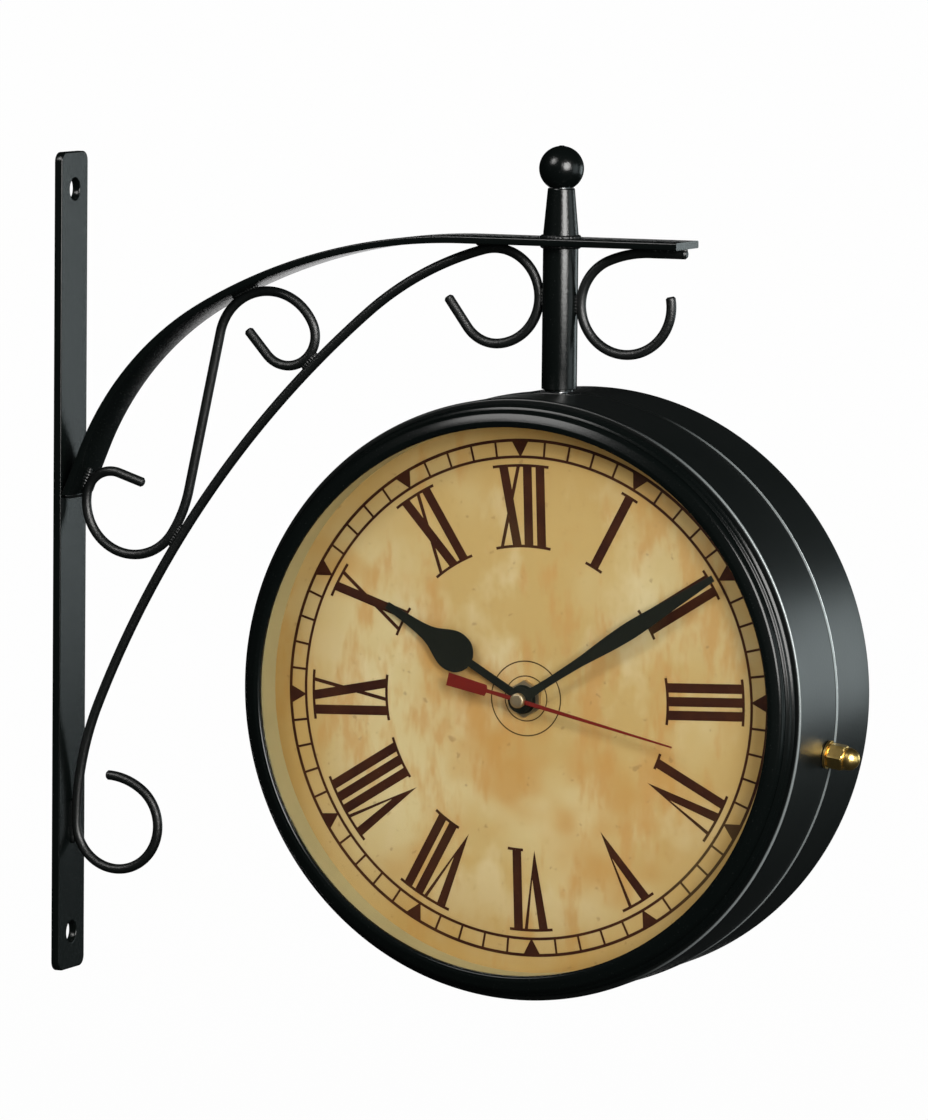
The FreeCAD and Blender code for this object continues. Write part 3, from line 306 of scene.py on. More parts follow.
def piece_of(name, mesh, finish, body, *stands_for, crease=38):
    """Hangs a mesh on a body as a named piece, with its finish.
    stands_for names the solid it takes the place of."""
    mesh.name = name
    mesh.materials.clear()
    mesh.materials.append(finish)
    mesh.shade_smooth()
    mesh.set_sharp_from_angle(angle=math.radians(crease))
    piece = put(name, mesh)
    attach(piece, body)
    if stands_for:
        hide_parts(*stands_for)
    return piece


def dress(finish, *names):
    """Gives a finish to solids whose shape is right as it is."""
    for name in names:
        for place in nodes[name].material_slots:
            place.material = finish


def plate_mesh(outlines, thickness, edge):
    """A flat plate with rounded edges, in its own XY plane with its middle at z = 0. outlines are
    closed loops of points: the first is the rim, the others are holes."""
    flat = bpy.data.curves.new("outline", "CURVE")
    flat.dimensions, flat.fill_mode = "2D", "BOTH"
    flat.extrude, flat.bevel_depth, flat.offset = thickness / 2 - edge, edge, -edge
    flat.bevel_resolution = 2
    for loop in outlines:
        line = flat.splines.new("POLY")
        line.points.add(len(loop) - 1)
        line.points.foreach_set("co", np.c_[loop, np.zeros(len(loop)), np.ones(len(loop))].ravel())
        line.use_cyclic_u = True
    holder = put("outline", flat)
    bpy.context.view_layer.update()
    drawn = holder.evaluated_get(bpy.context.evaluated_depsgraph_get())
    mesh = bpy.data.meshes.new_from_object(drawn)
    bpy.data.objects.remove(holder)
    return mesh


def full_turn(count):
    return np.linspace(0, 2 * np.pi, count, endpoint=False)


def circle(radius, centre=(0, 0), count=48):
    angle = full_turn(count)
    return np.c_[centre[0] + radius * np.cos(angle), centre[1] + radius * np.sin(angle)]


def round_box(half_w, half_h, radius, count=7):
    """A rectangle with quarter circle corners, as one loop."""
    corner = np.linspace(0, np.pi / 2, count)
    turns = [(1, 1, 0), (-1, 1, np.pi / 2), (-1, -1, np.pi), (1, -1, 1.5 * np.pi)]
    return np.concatenate([np.c_[sx * (half_w - radius) + radius * np.cos(corner + start),
                                 sy * (half_h - radius) + radius * np.sin(corner + start)]
                           for sx, sy, start in turns])


bar_holes = [circle(0.00375, (0, z), 32)[::-1] for z in (0.130, -0.130)]
bar = plate_mesh([round_box(0.010, 0.143, 0.0034)] + bar_holes, 0.003, 0.00045)
bar.transform(pose([(0, 1, 0), (0, 0, 1), (1, 0, 0)], (0.0015, 0, 0)))
piece_of("wall_bar_plate", bar, bar_enamel, "bracket", "wall_bar")


# ---- arm ----
# Flat bar, 20 by 2.5 mm, rolled over the easy way: level over the post, then two arcs that tighten
# towards the wall, and a short straight foot that is cut level and welded to the wall bar.

def polar(centre, radius, degrees):
    """The point at a bearing about a centre, or the points at several."""
    a = np.radians(degrees)
    return np.stack([centre[0] + radius * np.cos(a), centre[1] + radius * np.sin(a)], -1)


def arc_points(centre, radius, start, stop, pitch=0.0006):
    """Points round a centre from one bearing to another, in degrees, without the last one."""
    count = max(3, int(abs(math.radians(stop - start)) * radius / pitch))
    return polar(centre, radius, np.linspace(start, stop, count, endpoint=False))


def carried(section, path, scale=None):
    """The grid of a section carried along a path in the bracket's plane. Section points are
    (towards the left of travel, towards the back); scale shrinks the section at each path point."""
    run = np.gradient(path, axis=0)
    run /= np.linalg.norm(run, axis=1)[:, None]
    left = np.c_[-run[:, 1], run[:, 0]]
    scale = np.ones(len(path)) if scale is None else scale
    grid = np.empty((len(path), len(section), 3))
    grid[..., 0] = path[:, None, 0] + left[:, None, 0] * section[None, :, 0] * scale[:, None]
    grid[..., 2] = path[:, None, 1] + left[:, None, 1] * section[None, :, 0] * scale[:, None]
    grid[..., 1] = section[None, :, 1] * scale[:, None]
    return grid


def tube_mesh(grid):
    """A closed skin from a grid whose columns run round: both ends get a fan to their middle."""
    rows, columns = grid.shape[:2]
    points = np.concatenate([grid.reshape(-1, 3), grid[0].mean(0)[None], grid[-1].mean(0)[None]])
    faces = grid_faces(rows, columns, wrap_columns=True).tolist()
    j = np.arange(columns)
    nj = (j + 1) % columns
    last_row, first, last = (rows - 1) * columns, rows * columns, rows * columns + 1
    faces += np.c_[np.full(columns, first), j, nj].tolist()
    faces += np.c_[np.full(columns, last), last_row + nj, last_row + j].tolist()
    return solid_mesh(points, faces)


def solid_mesh(points, faces):
    """A mesh whose faces are turned to point outwards, told by the sign of its volume."""
    points = points.reshape(-1, 3)
    four = np.array([face if len(face) == 4 else face + face[-1:] for face in faces])
    a, b, c, d = points[four.T]
    volume = (a * (np.cross(b, c) + np.cross(c, d))).sum()
    if volume < 0:
        faces = [f[::-1] for f in faces]
    return mesh_of(points, faces)


WALL_FACE, POST, POST_HALF = 0.003, DRUM[0], 0.006
STRIP = 0.0025
OUTER_ARC, INNER_ARC = 0.1955, 0.108
BEND = 90 + 29.8                # bearing where the outer arc gives way to the inner one
strip_top = 0.1187
level_from = (POST - 0.0329, strip_top)
bend_out = (level_from[0], strip_top - OUTER_ARC)
knee = polar(bend_out, OUTER_ARC, BEND)
bend_in = polar(knee, INNER_ARC, BEND + 180)
foot_turn = BEND + 37.5
foot = polar(bend_in, INNER_ARC, foot_turn)
foot_heading = math.radians(foot_turn + 90)
foot_run = (WALL_FACE - foot[0]) / math.cos(foot_heading)
foot_end = (WALL_FACE, foot[1] + foot_run * math.sin(foot_heading))
strip_line = np.concatenate([
    np.c_[np.linspace(0.232, level_from[0], 24, endpoint=False), np.full(24, strip_top)],
    arc_points(bend_out, OUTER_ARC, 90, BEND, 0.003),
    arc_points(bend_in, INNER_ARC, BEND, foot_turn, 0.003), np.linspace(foot, foot_end, 8)])
strip_section = round_box(STRIP / 2, 0.010, 0.0005, 5) + [STRIP / 2, 0]
strip_grid = carried(strip_section, strip_line)
# the foot is cut level where its outer face meets the wall bar
foot_way = np.array([math.cos(foot_heading), 0, math.sin(foot_heading)])
reach = (foot_end[1] - strip_grid[-1, :, 2]) / foot_way[2]
strip_grid[-1] += reach[:, None] * foot_way
piece_of("arm_flat_bar", tube_mesh(strip_grid), bar_enamel, "bracket", "arm_strip")


# ---- scrolls ----
# Round rod of 3.4 mm, bent cold round pins of a few sizes, cropped at the ends, and welded where it
# touches: the long brace from wall to arm, the S between them, and the hook beyond the post.

def meet(centre_a, reach_a, centre_b, reach_b, side):
    """The point at given distances from two centres, left (+1) or right (-1) of a to b."""
    a, b = np.array(centre_a), np.array(centre_b)
    gap = np.linalg.norm(b - a)
    u = (b - a) / gap
    along = (reach_a ** 2 - reach_b ** 2 + gap ** 2) / (2 * gap)
    off = side * math.sqrt(reach_a ** 2 - along ** 2)
    return a + along * u + off * np.array([-u[1], u[0]])


def bearing(centre, point):
    return math.degrees(math.atan2(point[1] - centre[1], point[0] - centre[0]))


def round_to(centre, radius, start, stop, way):
    """An arc from one bearing on to another, anticlockwise (+1) or clockwise (-1)."""
    turned = (stop - start) % 360
    return arc_points(centre, radius, start, start + (turned if way > 0 else turned - 360))


def along(start, heading, length, count):
    """Points on a straight end, from a start along a heading in degrees."""
    return np.linspace(start, polar(start, length, heading), count)


def rod_piece(name, path, node):
    """Rod with cropped, slightly rounded ends: its section shrinks over the last 0.7 mm."""
    length = np.r_[0, np.cumsum(np.linalg.norm(np.diff(path, axis=0), axis=1))]
    inset = np.minimum(length, length[-1] - length)
    scale = np.sqrt(1 - (1 - np.clip(inset / 0.0007, 0, 1)) ** 2 * 0.55)
    section = circle(ROD, count=20)
    piece_of(name, tube_mesh(carried(section, path, scale)), rod_enamel, "bracket", node)


ROD = 0.0017                    # half the rod's thickness
UNDER_ARM = strip_top - STRIP

# the brace: foot eye, foot bow, long bow, head bow, head eye and its curl
FOOT_EYE, FOOT_BOW, LONG_BOW, HEAD_BOW, HEAD_EYE = 0.0158, 0.110, 0.370, 0.113, 0.0162
TAIL_BOW, CURL = 0.0227, 0.013
foot_eye = np.array([WALL_FACE + ROD + FOOT_EYE, -0.091])
foot_bow = np.array([WALL_FACE + ROD + FOOT_BOW, -0.091])
head_eye = np.array([POST - POST_HALF - ROD - HEAD_EYE, UNDER_ARM - ROD - HEAD_EYE])
head_bow = polar(head_eye, HEAD_BOW - HEAD_EYE, 105.7 + 180)
long_bow = meet(foot_bow, LONG_BOW - FOOT_BOW, head_bow, LONG_BOW - HEAD_BOW, -1)
tail_bow = polar(polar(foot_eye, FOOT_EYE, 55), TAIL_BOW, 235)
curl_bow = polar(polar(head_eye, HEAD_EYE, -84), CURL, 96)
low_join, high_join = bearing(long_bow, foot_bow), bearing(long_bow, head_bow)
brace_path = np.concatenate([
    round_to(tail_bow, TAIL_BOW, 90, 55, -1), round_to(foot_eye, FOOT_EYE, 55, 180, -1),
    round_to(foot_bow, FOOT_BOW, 180, low_join, -1),
    round_to(long_bow, LONG_BOW, low_join, high_join, -1),
    round_to(head_bow, HEAD_BOW, high_join, 105.7, -1),
    round_to(head_eye, HEAD_EYE, 105.7, -84, -1), round_to(curl_bow, CURL, -84, -144, -1),
    along(polar(curl_bow, CURL, -144), -144 - 90, 0.0124, 20)])
rod_piece("brace_rod", brace_path, "brace_scroll")

# the S: its foot eye lies between the arm's foot and the brace, its head eye under the arm
ESS_FOOT, ESS_HEAD, ESS_OPEN, LOW_CURL, HIGH_CURL = 0.018, 0.0186, 0.046, 0.0095, 0.0104
base = polar(foot, ESS_FOOT + ROD + STRIP, foot_turn + 180)
way = np.array([math.cos(foot_heading), math.sin(foot_heading)])
off = base - long_bow
along_way = off @ way
slide = -along_way - math.sqrt(along_way ** 2 - off @ off + (LONG_BOW + 2 * ROD + ESS_FOOT) ** 2)
ess_low = base + slide * way
ess_high = polar(bend_out, OUTER_ARC - STRIP - ROD - ESS_HEAD, 90 + 26)
ess_curl = meet(ess_high, ESS_HEAD - HIGH_CURL, long_bow, LONG_BOW + 2 * ROD + HIGH_CURL, 1)
touch = bearing(long_bow, ess_low) + 180
ess_open = polar(ess_low, ESS_OPEN - ESS_FOOT, touch + 180)
leave = bearing(ess_open, ess_high) - math.degrees(math.acos(
    (ESS_OPEN + ESS_HEAD) / np.linalg.norm(ess_high - ess_open)))
low_curl = polar(ess_low, ESS_FOOT - LOW_CURL, 172)
low_tail = polar(low_curl, LOW_CURL, 72)
curl_start = bearing(ess_high, ess_curl)
curl_stop = curl_start - 165
ess_path = np.concatenate([
    np.linspace(polar(low_tail, 0.010, 72 - 90), low_tail, 16, endpoint=False),
    round_to(low_curl, LOW_CURL, 72, 172, 1), round_to(ess_low, ESS_FOOT, 172, touch, 1),
    round_to(ess_open, ESS_OPEN, touch, leave, 1),
    np.linspace(polar(ess_open, ESS_OPEN, leave), polar(ess_high, ESS_HEAD, leave + 180), 60,
                endpoint=False),
    round_to(ess_high, ESS_HEAD, leave + 180, curl_start, -1),
    round_to(ess_curl, HIGH_CURL, curl_start, curl_stop, -1),
    along(polar(ess_curl, HIGH_CURL, curl_stop), curl_stop - 90, 0.011, 18)])
rod_piece("ess_rod", ess_path, "ess_scroll")

# the hook: level under the arm's end, then round and back to the post
HOOK_BOW, HOOK_EYE = 0.038, 0.0164
hook_level = UNDER_ARM - ROD
hook_eye = np.array([POST + POST_HALF + ROD + HOOK_EYE, hook_level - HOOK_EYE - ROD])
hook_drop = HOOK_BOW - (hook_level - hook_eye[1])
hook_bow = np.array([hook_eye[0] + math.sqrt((HOOK_BOW - HOOK_EYE) ** 2 - hook_drop ** 2),
                     hook_level - HOOK_BOW])
hook_join = bearing(hook_bow, hook_eye)
hook_path = np.concatenate([
    np.linspace((0.232, hook_level), (hook_bow[0], hook_level), 20, endpoint=False),
    round_to(hook_bow, HOOK_BOW, 90, hook_join, 1), round_to(hook_eye, HOOK_EYE, hook_join, 15, 1)])
rod_piece("hook_rod", hook_path, "end_scroll")


# ---- welds ----
# Short beads laid where rod meets bar, rod meets rod and post meets arm, ground little or not at
# all and painted over. Each ripples where the weld pool froze step by step.

def bead(name, start, end, width, lift, seed):
    """A half sunk ridge between two points: an ellipse that swells in the middle and ripples."""
    start, end = np.array(start, float), np.array(end, float)
    t = np.linspace(0, 1, 40)[:, None]
    run = end - start
    length = np.linalg.norm(run)
    run /= length
    side = np.cross(run, [0, 0, 1]) if abs(run[2]) < 0.9 else np.cross(run, [0, 1, 0])
    side /= np.linalg.norm(side)
    other = np.cross(run, side)
    angle = full_turn(16)[None, :]
    swell = np.sqrt(np.clip(1 - (2 * t - 1) ** 4, 0, 1))
    ripple = 1 + 0.09 * np.sin(t * length / 0.0011 * 2 * np.pi + seed)
    ripple += 0.05 * np.sin(5 * t + seed * 3)
    size = np.maximum(swell * ripple, 0.02)[..., None]
    grid = (start + (end - start) * t)[:, None, :] + size * (
        width * np.cos(angle)[..., None] * side + lift * np.sin(angle)[..., None] * other)
    piece_of(name, tube_mesh(grid), rod_enamel, "bracket", crease=60)


ess_to_arm, ess_to_brace = bearing(bend_out, ess_high), bearing(long_bow, ess_curl)
# name, touching point, heading of the bead, its length and width, where its ripples start
for name, point, heading, length, width, seed in (
        ("brace_wall", (0.0034, -0.091), 90, 0.016, 0.0013, 0.3),
        ("brace_post", (0.1798, head_eye[1]), 90, 0.007, 0.0012, 1.1),
        ("brace_arm", (head_eye[0] - 0.002, 0.1160), 0, 0.011, 0.0012, 2.0),
        ("hook_post", (0.1922, hook_eye[1]), 90, 0.007, 0.0012, 2.7),
        ("hook_arm", (0.2235, 0.1158), 0, 0.0175, 0.0017, 3.1),
        ("ess_foot", polar(ess_low, ESS_FOOT + ROD, foot_turn), foot_turn + 90, 0.009, 0.0012, 3.9),
        ("ess_arm", polar(ess_high, ESS_HEAD + ROD, ess_to_arm), ess_to_arm + 90, 0.011, 0.0012,
         4.4),
        ("ess_brace_low", polar(ess_low, ESS_FOOT + ROD, touch), touch + 90, 0.009, 0.0012, 5.2),
        ("ess_brace_high", polar(ess_curl, HIGH_CURL + ROD, ess_to_brace + 180),
         ess_to_brace + 90, 0.008, 0.0012, 6.1)):
    middle = np.array([point[0], 0, point[1]])
    half = polar((0, 0), length / 2, heading) @ [[1, 0, 0], [0, 0, 1]]
    bead("weld_" + name, middle - half, middle + half, width, width, seed)
for name, x, lift_off, width, lift, seed in (("under", 0.0040, -0.0003, 0.0013, 0.0012, 0.8),
                                             ("over", 0.0037, 0.0022, 0.0011, 0.0011, 1.9)):
    z = foot_end[1] + lift_off
    bead("weld_arm_wall_" + name, (x, -0.0088, z), (x, 0.0088, z), width, lift, seed)


# ---- post and finial ----
# A 12 mm tube stands between arm and drum. Above the arm a turned cone carries a ball with a small
# tip; the hanging rod runs up through all of them and draws them together.

def turned_mesh(profile, centre=(DRUM[0], 0, 0), axis=(0, 0, 1), count=96, ring=False):
    """Revolves a profile of (radius, station) points, about the post unless told otherwise. ring
    closes the profile on itself; otherwise its ends close on the axis."""
    axis, profile = np.array(axis, float), np.asarray(profile, float)[:, None, :, None]
    first = np.cross(axis, [1, 0, 0]) if abs(axis[0]) < 0.9 else np.cross(axis, [0, 0, 1])
    first /= np.linalg.norm(first)
    angle = full_turn(count)[:, None]
    spoke = np.cos(angle) * first + np.sin(angle) * np.cross(axis, first)
    grid = np.array(centre) + profile[:, :, 1] * axis + profile[:, :, 0] * spoke
    if not ring:
        return tube_mesh(grid)
    faces = grid_faces(len(grid), count, wrap_rows=True, wrap_columns=True).tolist()
    return solid_mesh(grid, faces)


def eased(points, radius, steps=4):
    """Rounds the corners of an open or closed run of (radius, station) points by short curves."""
    points = np.asarray(points, float)
    out = [points[0]]
    for before, here, after in zip(points[:-2], points[1:-1], points[2:]):
        a, b = before - here, after - here
        la, lb = np.linalg.norm(a), np.linalg.norm(b)
        cut = min(radius, la * 0.45, lb * 0.45)
        t = np.linspace(0, 1, steps + 1)[:, None]
        start, stop = here + a / la * cut, here + b / lb * cut
        out.extend((1 - t) ** 2 * start + 2 * t * (1 - t) * here + t ** 2 * stop)
    out.append(points[-1])
    return np.array(out)


post_top, post_foot, cone_top = strip_top - STRIP, 0.0676, 0.1355
post_profile = eased([(0.0050, post_foot), (0.0060, post_foot), (0.0060, post_top),
                      (0.0050, post_top)], 0.0003)
cone_profile = eased([(0.0031, strip_top), (0.00615, strip_top), (0.0060, strip_top + 0.0012),
                      (0.0046, cone_top - 0.0004), (0.0044, cone_top), (0.0031, cone_top)], 0.0004)
piece_of("post_sleeve", turned_mesh(post_profile, ring=True), bar_enamel, "bracket", "post_tube")
piece_of("finial_stem", turned_mesh(cone_profile, ring=True), bar_enamel, "bracket", "finial_cone")

# the ball sits with a neck of 4.1 mm radius on the cone, and its tip stands a little proud
BALL, NECK, TIP = 0.0076, 0.0041, 0.00775
ball_angle = np.linspace(-math.acos(NECK / BALL), math.pi / 2 - 0.17, 40)
ball_middle = cone_top + TIP * math.sin(math.acos(NECK / TIP))
ball_profile = np.r_[
    np.c_[[0.0], [cone_top]],
    np.c_[BALL * np.cos(ball_angle), ball_middle + BALL * np.sin(ball_angle)],
    np.c_[[0.0009, 0.0008, 0.0], ball_middle + np.array([0.00757, 0.00773, TIP])]]
piece_of("finial_globe", turned_mesh(ball_profile, count=72), bar_enamel, "bracket", "finial_ball")

ripple_angle = full_turn(144)
round_angle = full_turn(12)[:, None]
small = 0.0008 * (1 + 0.12 * np.sin(29 * ripple_angle) + 0.06 * np.sin(7 * ripple_angle + 1))
for name, station in (("weld_post_head", post_top - 0.0002),
                      ("weld_stem_foot", strip_top + 0.0002)):
    r = 0.0061 + small * np.cos(round_angle)
    ringed = np.stack([POST + r * np.cos(ripple_angle), r * np.sin(ripple_angle),
                       station + small * np.sin(round_angle)], -1)
    faces = grid_faces(12, 144, wrap_rows=True, wrap_columns=True).tolist()
    piece_of(name, solid_mesh(ringed, faces), rod_enamel, "bracket", crease=60)


# ---- hanging rod, washers and nuts ----
# Zinc plated fixings inside the drum's top and under the post.

def scaled(shade, share):
    """A colour scaled by a share, with its alpha kept at 1."""
    return tuple(min(1.0, c * share) for c in shade[:3]) + (1,)


def plated(name, shade, rough, scale=700):
    """Bright metal with fine turning marks and a little tarnish."""
    paint, done = material(name, Metallic=1.0)
    tarnish = paint.spot(scale * 0.2, 3.0, 0.6)
    lines = paint.spot(scale, 2.0, 0.5, stretch=(1, 1, 9))
    colour = paint.blend(paint.ramp(tarnish, 0.35, 0.75) * 0.55, shade, scaled(shade, 0.62))
    return done(Base_Color=colour, Roughness=rough + tarnish * 0.12,
                Normal=paint.bump(lines, 0.00003, 0.6))


zinc = plated("zinc_plate", (0.58, 0.59, 0.60, 1), 0.30)
dress(zinc, "hanger_rod", "hanger_washer", "hanger_nut", "hanger_locknut")


# ---- drum ----
# Two pressed shells of 0.9 mm sheet. The front one has a plain skirt that closes over the rear
# one's joggled sleeve; the line round the middle is its turned edge, which catches the light and
# also carries a painted highlight on the side away from the wall.

def shell_mesh(run, sign, cuts):
    """Turns a run of (radius, distance out) points about the drum's axis and leaves out the cells
    of the cuts. sign is -1 for the front and +1 for the rear. A cut is (middle angle, half width,
    lowest station, highest station)."""
    run, count = np.asarray(run, float), 1080
    angle = full_turn(count)
    grid = np.empty((len(run), count, 3))
    grid[..., 0] = DRUM[0] + run[:, None, 0] * np.cos(angle)
    grid[..., 2] = DRUM[2] + run[:, None, 0] * np.sin(angle)
    grid[..., 1] = sign * run[:, None, 1]
    quads = grid_faces(len(run), count, wrap_columns=True).reshape(len(run) - 1, count, 4)
    station = (run[:-1, 1] + run[1:, 1]) / 2
    middle = angle + np.pi / count
    keep = np.ones(quads.shape[:2], bool)
    for around, half, low, high in cuts:
        aside = np.abs((middle - around + np.pi) % (2 * np.pi) - np.pi)
        inside = (station > low) & (station < high) & (run[:-1, 0] > 0.1)
        keep &= ~((aside[None, :] < half) & inside[:, None])
    faces = quads[keep]
    if sign > 0:
        faces = faces[:, ::-1]
    return mesh_of(grid, faces.tolist())


def stations(*values, pitch=0.0018):
    """Fills long gaps between stations, so that the cuts fall on cell borders."""
    out = []
    for low, high in zip(values[:-1], values[1:]):
        count = max(1, int(math.ceil((high - low) / pitch)))
        out.extend(np.linspace(low, high, count, endpoint=False))
    return out + [values[-1]]


def bead_run(centre, radius, start, stop, steps=8):
    """Part of a circle of (radius, station) points, from one bearing to another in degrees."""
    return polar(centre, radius, np.linspace(start, stop, steps))


def shell_piece(name, run, sign, cuts, body, node):
    """A shell as a piece, with the sheet's thickness added on its inside."""
    piece = piece_of(name, shell_mesh(run, sign, cuts), sheet_enamel, body, node)
    thick = piece.modifiers.new("sheet", "SOLIDIFY")
    thick.thickness, thick.offset, thick.use_even_offset = SHEET, -1, True


R, SHEET = 0.1015, 0.0009       # the drum's radius, and the thickness of its sheet
SLEEVE = R - 0.0014
STUD_TURN = math.radians(8.6)   # how far the stud sits below the level of the dial's centre
rim = eased([(0.0975, 0.0324), (R, 0.0324), (R, 0.020)], 0.0009, 6)[:-1]
skirt = [(R, s) for s in reversed(stations(0.0001, 0.0074, 0.0079, 0.029))]
turned_edge = bead_run((R - 0.00055, -0.0006), 0.00090, 52, -90, 10)
# notch for the seat under the post, and the slot for the stud
shell_piece("front_shell_skin", np.concatenate([rim, skirt, turned_edge]), -1, [
    (math.pi / 2, 0.0078 / R, -0.01, 0.0074), (-STUD_TURN, 0.0029 / R, -0.01, 0.0079)],
    "front_half", "front_shell")
shell_piece("rear_shell_skin", np.concatenate([
    rim, [(R, s) for s in reversed(stations(0.0024, 0.029))],
    eased([(R, 0.0024), (R, 0.0018), (SLEEVE, 0.0018), (SLEEVE, 0.0006)], 0.0004, 3)[1:-1],
    [(SLEEVE, s) for s in reversed(stations(-0.0090, 0.0010))]]), 1, [],
    "rear_half", "rear_shell")


def seat_mesh():
    """The raised seat under the post, flush with the skirt: a low pillow, a patch of the skirt's
    cylinder whose border drops to the sleeve."""
    seat_s = np.linspace(-0.0069, 0.0017, 12)
    seat_a = np.linspace(-0.0073 / R, 0.0073 / R, 24) + np.pi / 2
    s, a = np.meshgrid(seat_s, seat_a, indexing="ij")
    near = np.minimum(np.minimum(s - seat_s[0], seat_s[-1] - s) / 0.0008,
                      np.minimum(a - seat_a[0], seat_a[-1] - a) * R / 0.0008)
    foot_r, rise_r = SLEEVE - 0.0002, R - SLEEVE + 0.0002
    r = foot_r + rise_r * np.sqrt(np.clip(1 - (1 - np.clip(near, 0, 1)) ** 2, 0, 1))
    top, low = (np.stack([DRUM[0] + q * np.cos(a), s, DRUM[2] + q * np.sin(a)], -1)
                for q in (r, SLEEVE - 0.0004))
    rows, columns = s.shape
    quads = grid_faces(rows, columns)
    edge = np.r_[np.arange(columns), np.arange(1, rows) * columns + columns - 1,
                 (rows - 1) * columns + np.arange(columns - 2, -1, -1),
                 np.arange(rows - 2, 0, -1) * columns]
    after = np.roll(edge, -1)
    shift = rows * columns
    walls = np.c_[edge, after, after + shift, edge + shift]
    faces = quads.tolist() + (quads[:, ::-1] + shift).tolist() + walls[:, ::-1].tolist()
    return solid_mesh(np.stack([top, low]), faces)


piece_of("post_seat", seat_mesh(), sheet_enamel, "rear_half")
dress(bar_enamel, "saddle_plate", "seat_washer", "front_hinge_leaf", "rear_hinge_leaf",
      "hinge_pin")


# ---- closing stud and dome nut ----
# A brass dome nut on an M5 stud holds the front half shut: a hexagon with chamfered corners, a
# narrow neck, and a polished dome. The brass is lacquered, with patches of darker tarnish.

brass = plated("lacquered_brass", (0.86, 0.60, 0.20, 1), 0.24, scale=900)
STUD = np.array([math.cos(STUD_TURN), 0, -math.sin(STUD_TURN)])
STUD_FOOT = DRUM + [0, -0.005, 0]


def dome_nut_mesh():
    """The radius depends on angle and station: a hexagon's edge below, cut by the chamfer cone, and
    a circle above. The nut is bored from below for the stud."""
    count = 144
    angle = full_turn(count)
    flat = 0.004 / np.cos((angle + np.pi / 6) % (np.pi / 3) - np.pi / 6)
    base = 0.1027
    bore = [(0.0062, 1e-5), (0.0062, 0.00255), (0.0, 0.00255)]
    hexes = [(0.0, 0.0039), (0.0004, 0.00445), (0.0008, 0.0047), (0.0028, 0.0047),
             (0.0049, 0.0047), (0.0053, 0.0044), (0.0056, 0.0040)]
    neck = [(0.00565, 0.00375), (0.0058, 0.0036), (0.0061, 0.0037), (0.0064, 0.0038)]
    dome = [(0.0068 + 0.0038 * math.sin(a), 0.0038 * math.cos(a))
            for a in np.linspace(0, np.pi / 2 - 0.02, 18)]
    heights = np.array([h for h, _ in bore + hexes + neck + dome])
    rows = np.array([np.full(count, r) for _, r in bore] +
                    [np.minimum(flat, limit) for _, limit in hexes] +
                    [np.full(count, r) for _, r in neck + dome])
    side = np.array([0, 1, 0.0])
    spoke = np.cos(angle)[:, None] * np.cross(STUD, side) + np.sin(angle)[:, None] * side
    return tube_mesh(STUD_FOOT + (base + heights)[:, None, None] * STUD + rows[..., None] * spoke)


piece_of("dome_nut_brass", dome_nut_mesh(), brass, "stud_nut", "dome_nut", crease=28)
dress(brass, "closing_stud", "closing_washer")


# ---- both sides ----
# What follows is made twice, for the front and for the rear, which is the front turned half a turn
# about the post. Distances out are from the drum's middle plane.

SIDES = (("front", "front_half", -1), ("rear", "rear_half", 1))


def on_dial(points, sign, out):
    """Points (right, up) as the viewer of that side sees them, at a distance out."""
    points = np.asarray(points, float)
    return np.stack([DRUM[0] - sign * points[..., 0], sign * (out + np.zeros(points.shape[:-1])),
                     DRUM[2] + points[..., 1]], -1)


def stamped(outlines, thickness, edge, sign, out, degrees=0.0):
    """A thin plate on the dial, its back at a distance out, turned clockwise by so many degrees."""
    mesh = plate_mesh(outlines, thickness, edge)
    a = math.radians(degrees)
    right = np.array([-sign * math.cos(a), 0, -math.sin(a)])
    up = np.array([-sign * math.sin(a), 0, math.cos(a)])
    mesh.transform(pose([right, up, (0, sign, 0)], DRUM + [0, sign * (out + thickness / 2), 0]))
    return mesh


# ---- bezels ----
# Spun sheet: a flat collar on the shell, a groove, two beads, a rolled lip round the opening, and a
# spigot inside the shell with four tabs folded over the dial plate.

bezel_out = np.concatenate([
    [(0.0975, 0.0234), (0.0975, 0.0323)], [(0.0990, 0.0324)],
    bead_run((0.0991, 0.0332), 0.00068, -80, 75), bead_run((0.09905, 0.0345), 0.00030, 250, 120, 4),
    bead_run((0.0984, 0.0357), 0.00075, -60, 70), bead_run((0.0981, 0.0369), 0.00025, 250, 130, 4),
    bead_run((0.0955, 0.0376), 0.0024, -20, 62, 10),
    bead_run((0.0940, 0.03903), 0.00125, 62, 115, 6), bead_run((0.0934, 0.0391), 0.0012, 112, 200),
    [(0.0922, 0.0384)]])
bezel_back = np.array([(0.0930, 0.03805), (0.0955, 0.03805), (0.0966, 0.0378), (0.0966, 0.0234)])
tab = round_box(0.005, 0.0025, 0.0006) + [0, 0.0945]
quarter = np.array([[0, -1], [1, 0]])
tabs = [tab, tab @ quarter, -tab, -tab @ quarter]
for side, body, sign in SIDES:
    ring = turned_mesh(np.concatenate([bezel_out, bezel_back]), DRUM, (0, sign, 0), 360, ring=True)
    piece_of("bezel_ring_" + side, ring, lip_enamel, body, "bezel_" + side, crease=50)
    piece_of("bezel_tabs_" + side, stamped(tabs, 0.0009, 0.0002, sign, 0.0234), lip_enamel, body)


# ---- glass ----
# A 2 mm disc of clear float glass behind the lip. Only its reflections and a faint green edge show.

clear = Paint(bpy.data.materials.new("float_glass"))
smear = clear.spot(30, 3.0, 0.6)
shine = clear.node("BsdfPrincipled", None, {
    "Base Color": (0.9, 0.95, 0.93, 1), "Metallic": 1.0, "Roughness": smear * 0.06 + 0.01})
pass_light = clear.node("BsdfTransparent", None, {"Color": (0.985, 0.992, 0.988, 1)})
facing = clear.node("Fresnel", None, {"IOR": 1.28})
float_glass = clear.finish(clear.node("MixShader", None, {0: facing, 1: pass_light, 2: shine}))
dress(float_glass, "glass_front", "glass_rear")


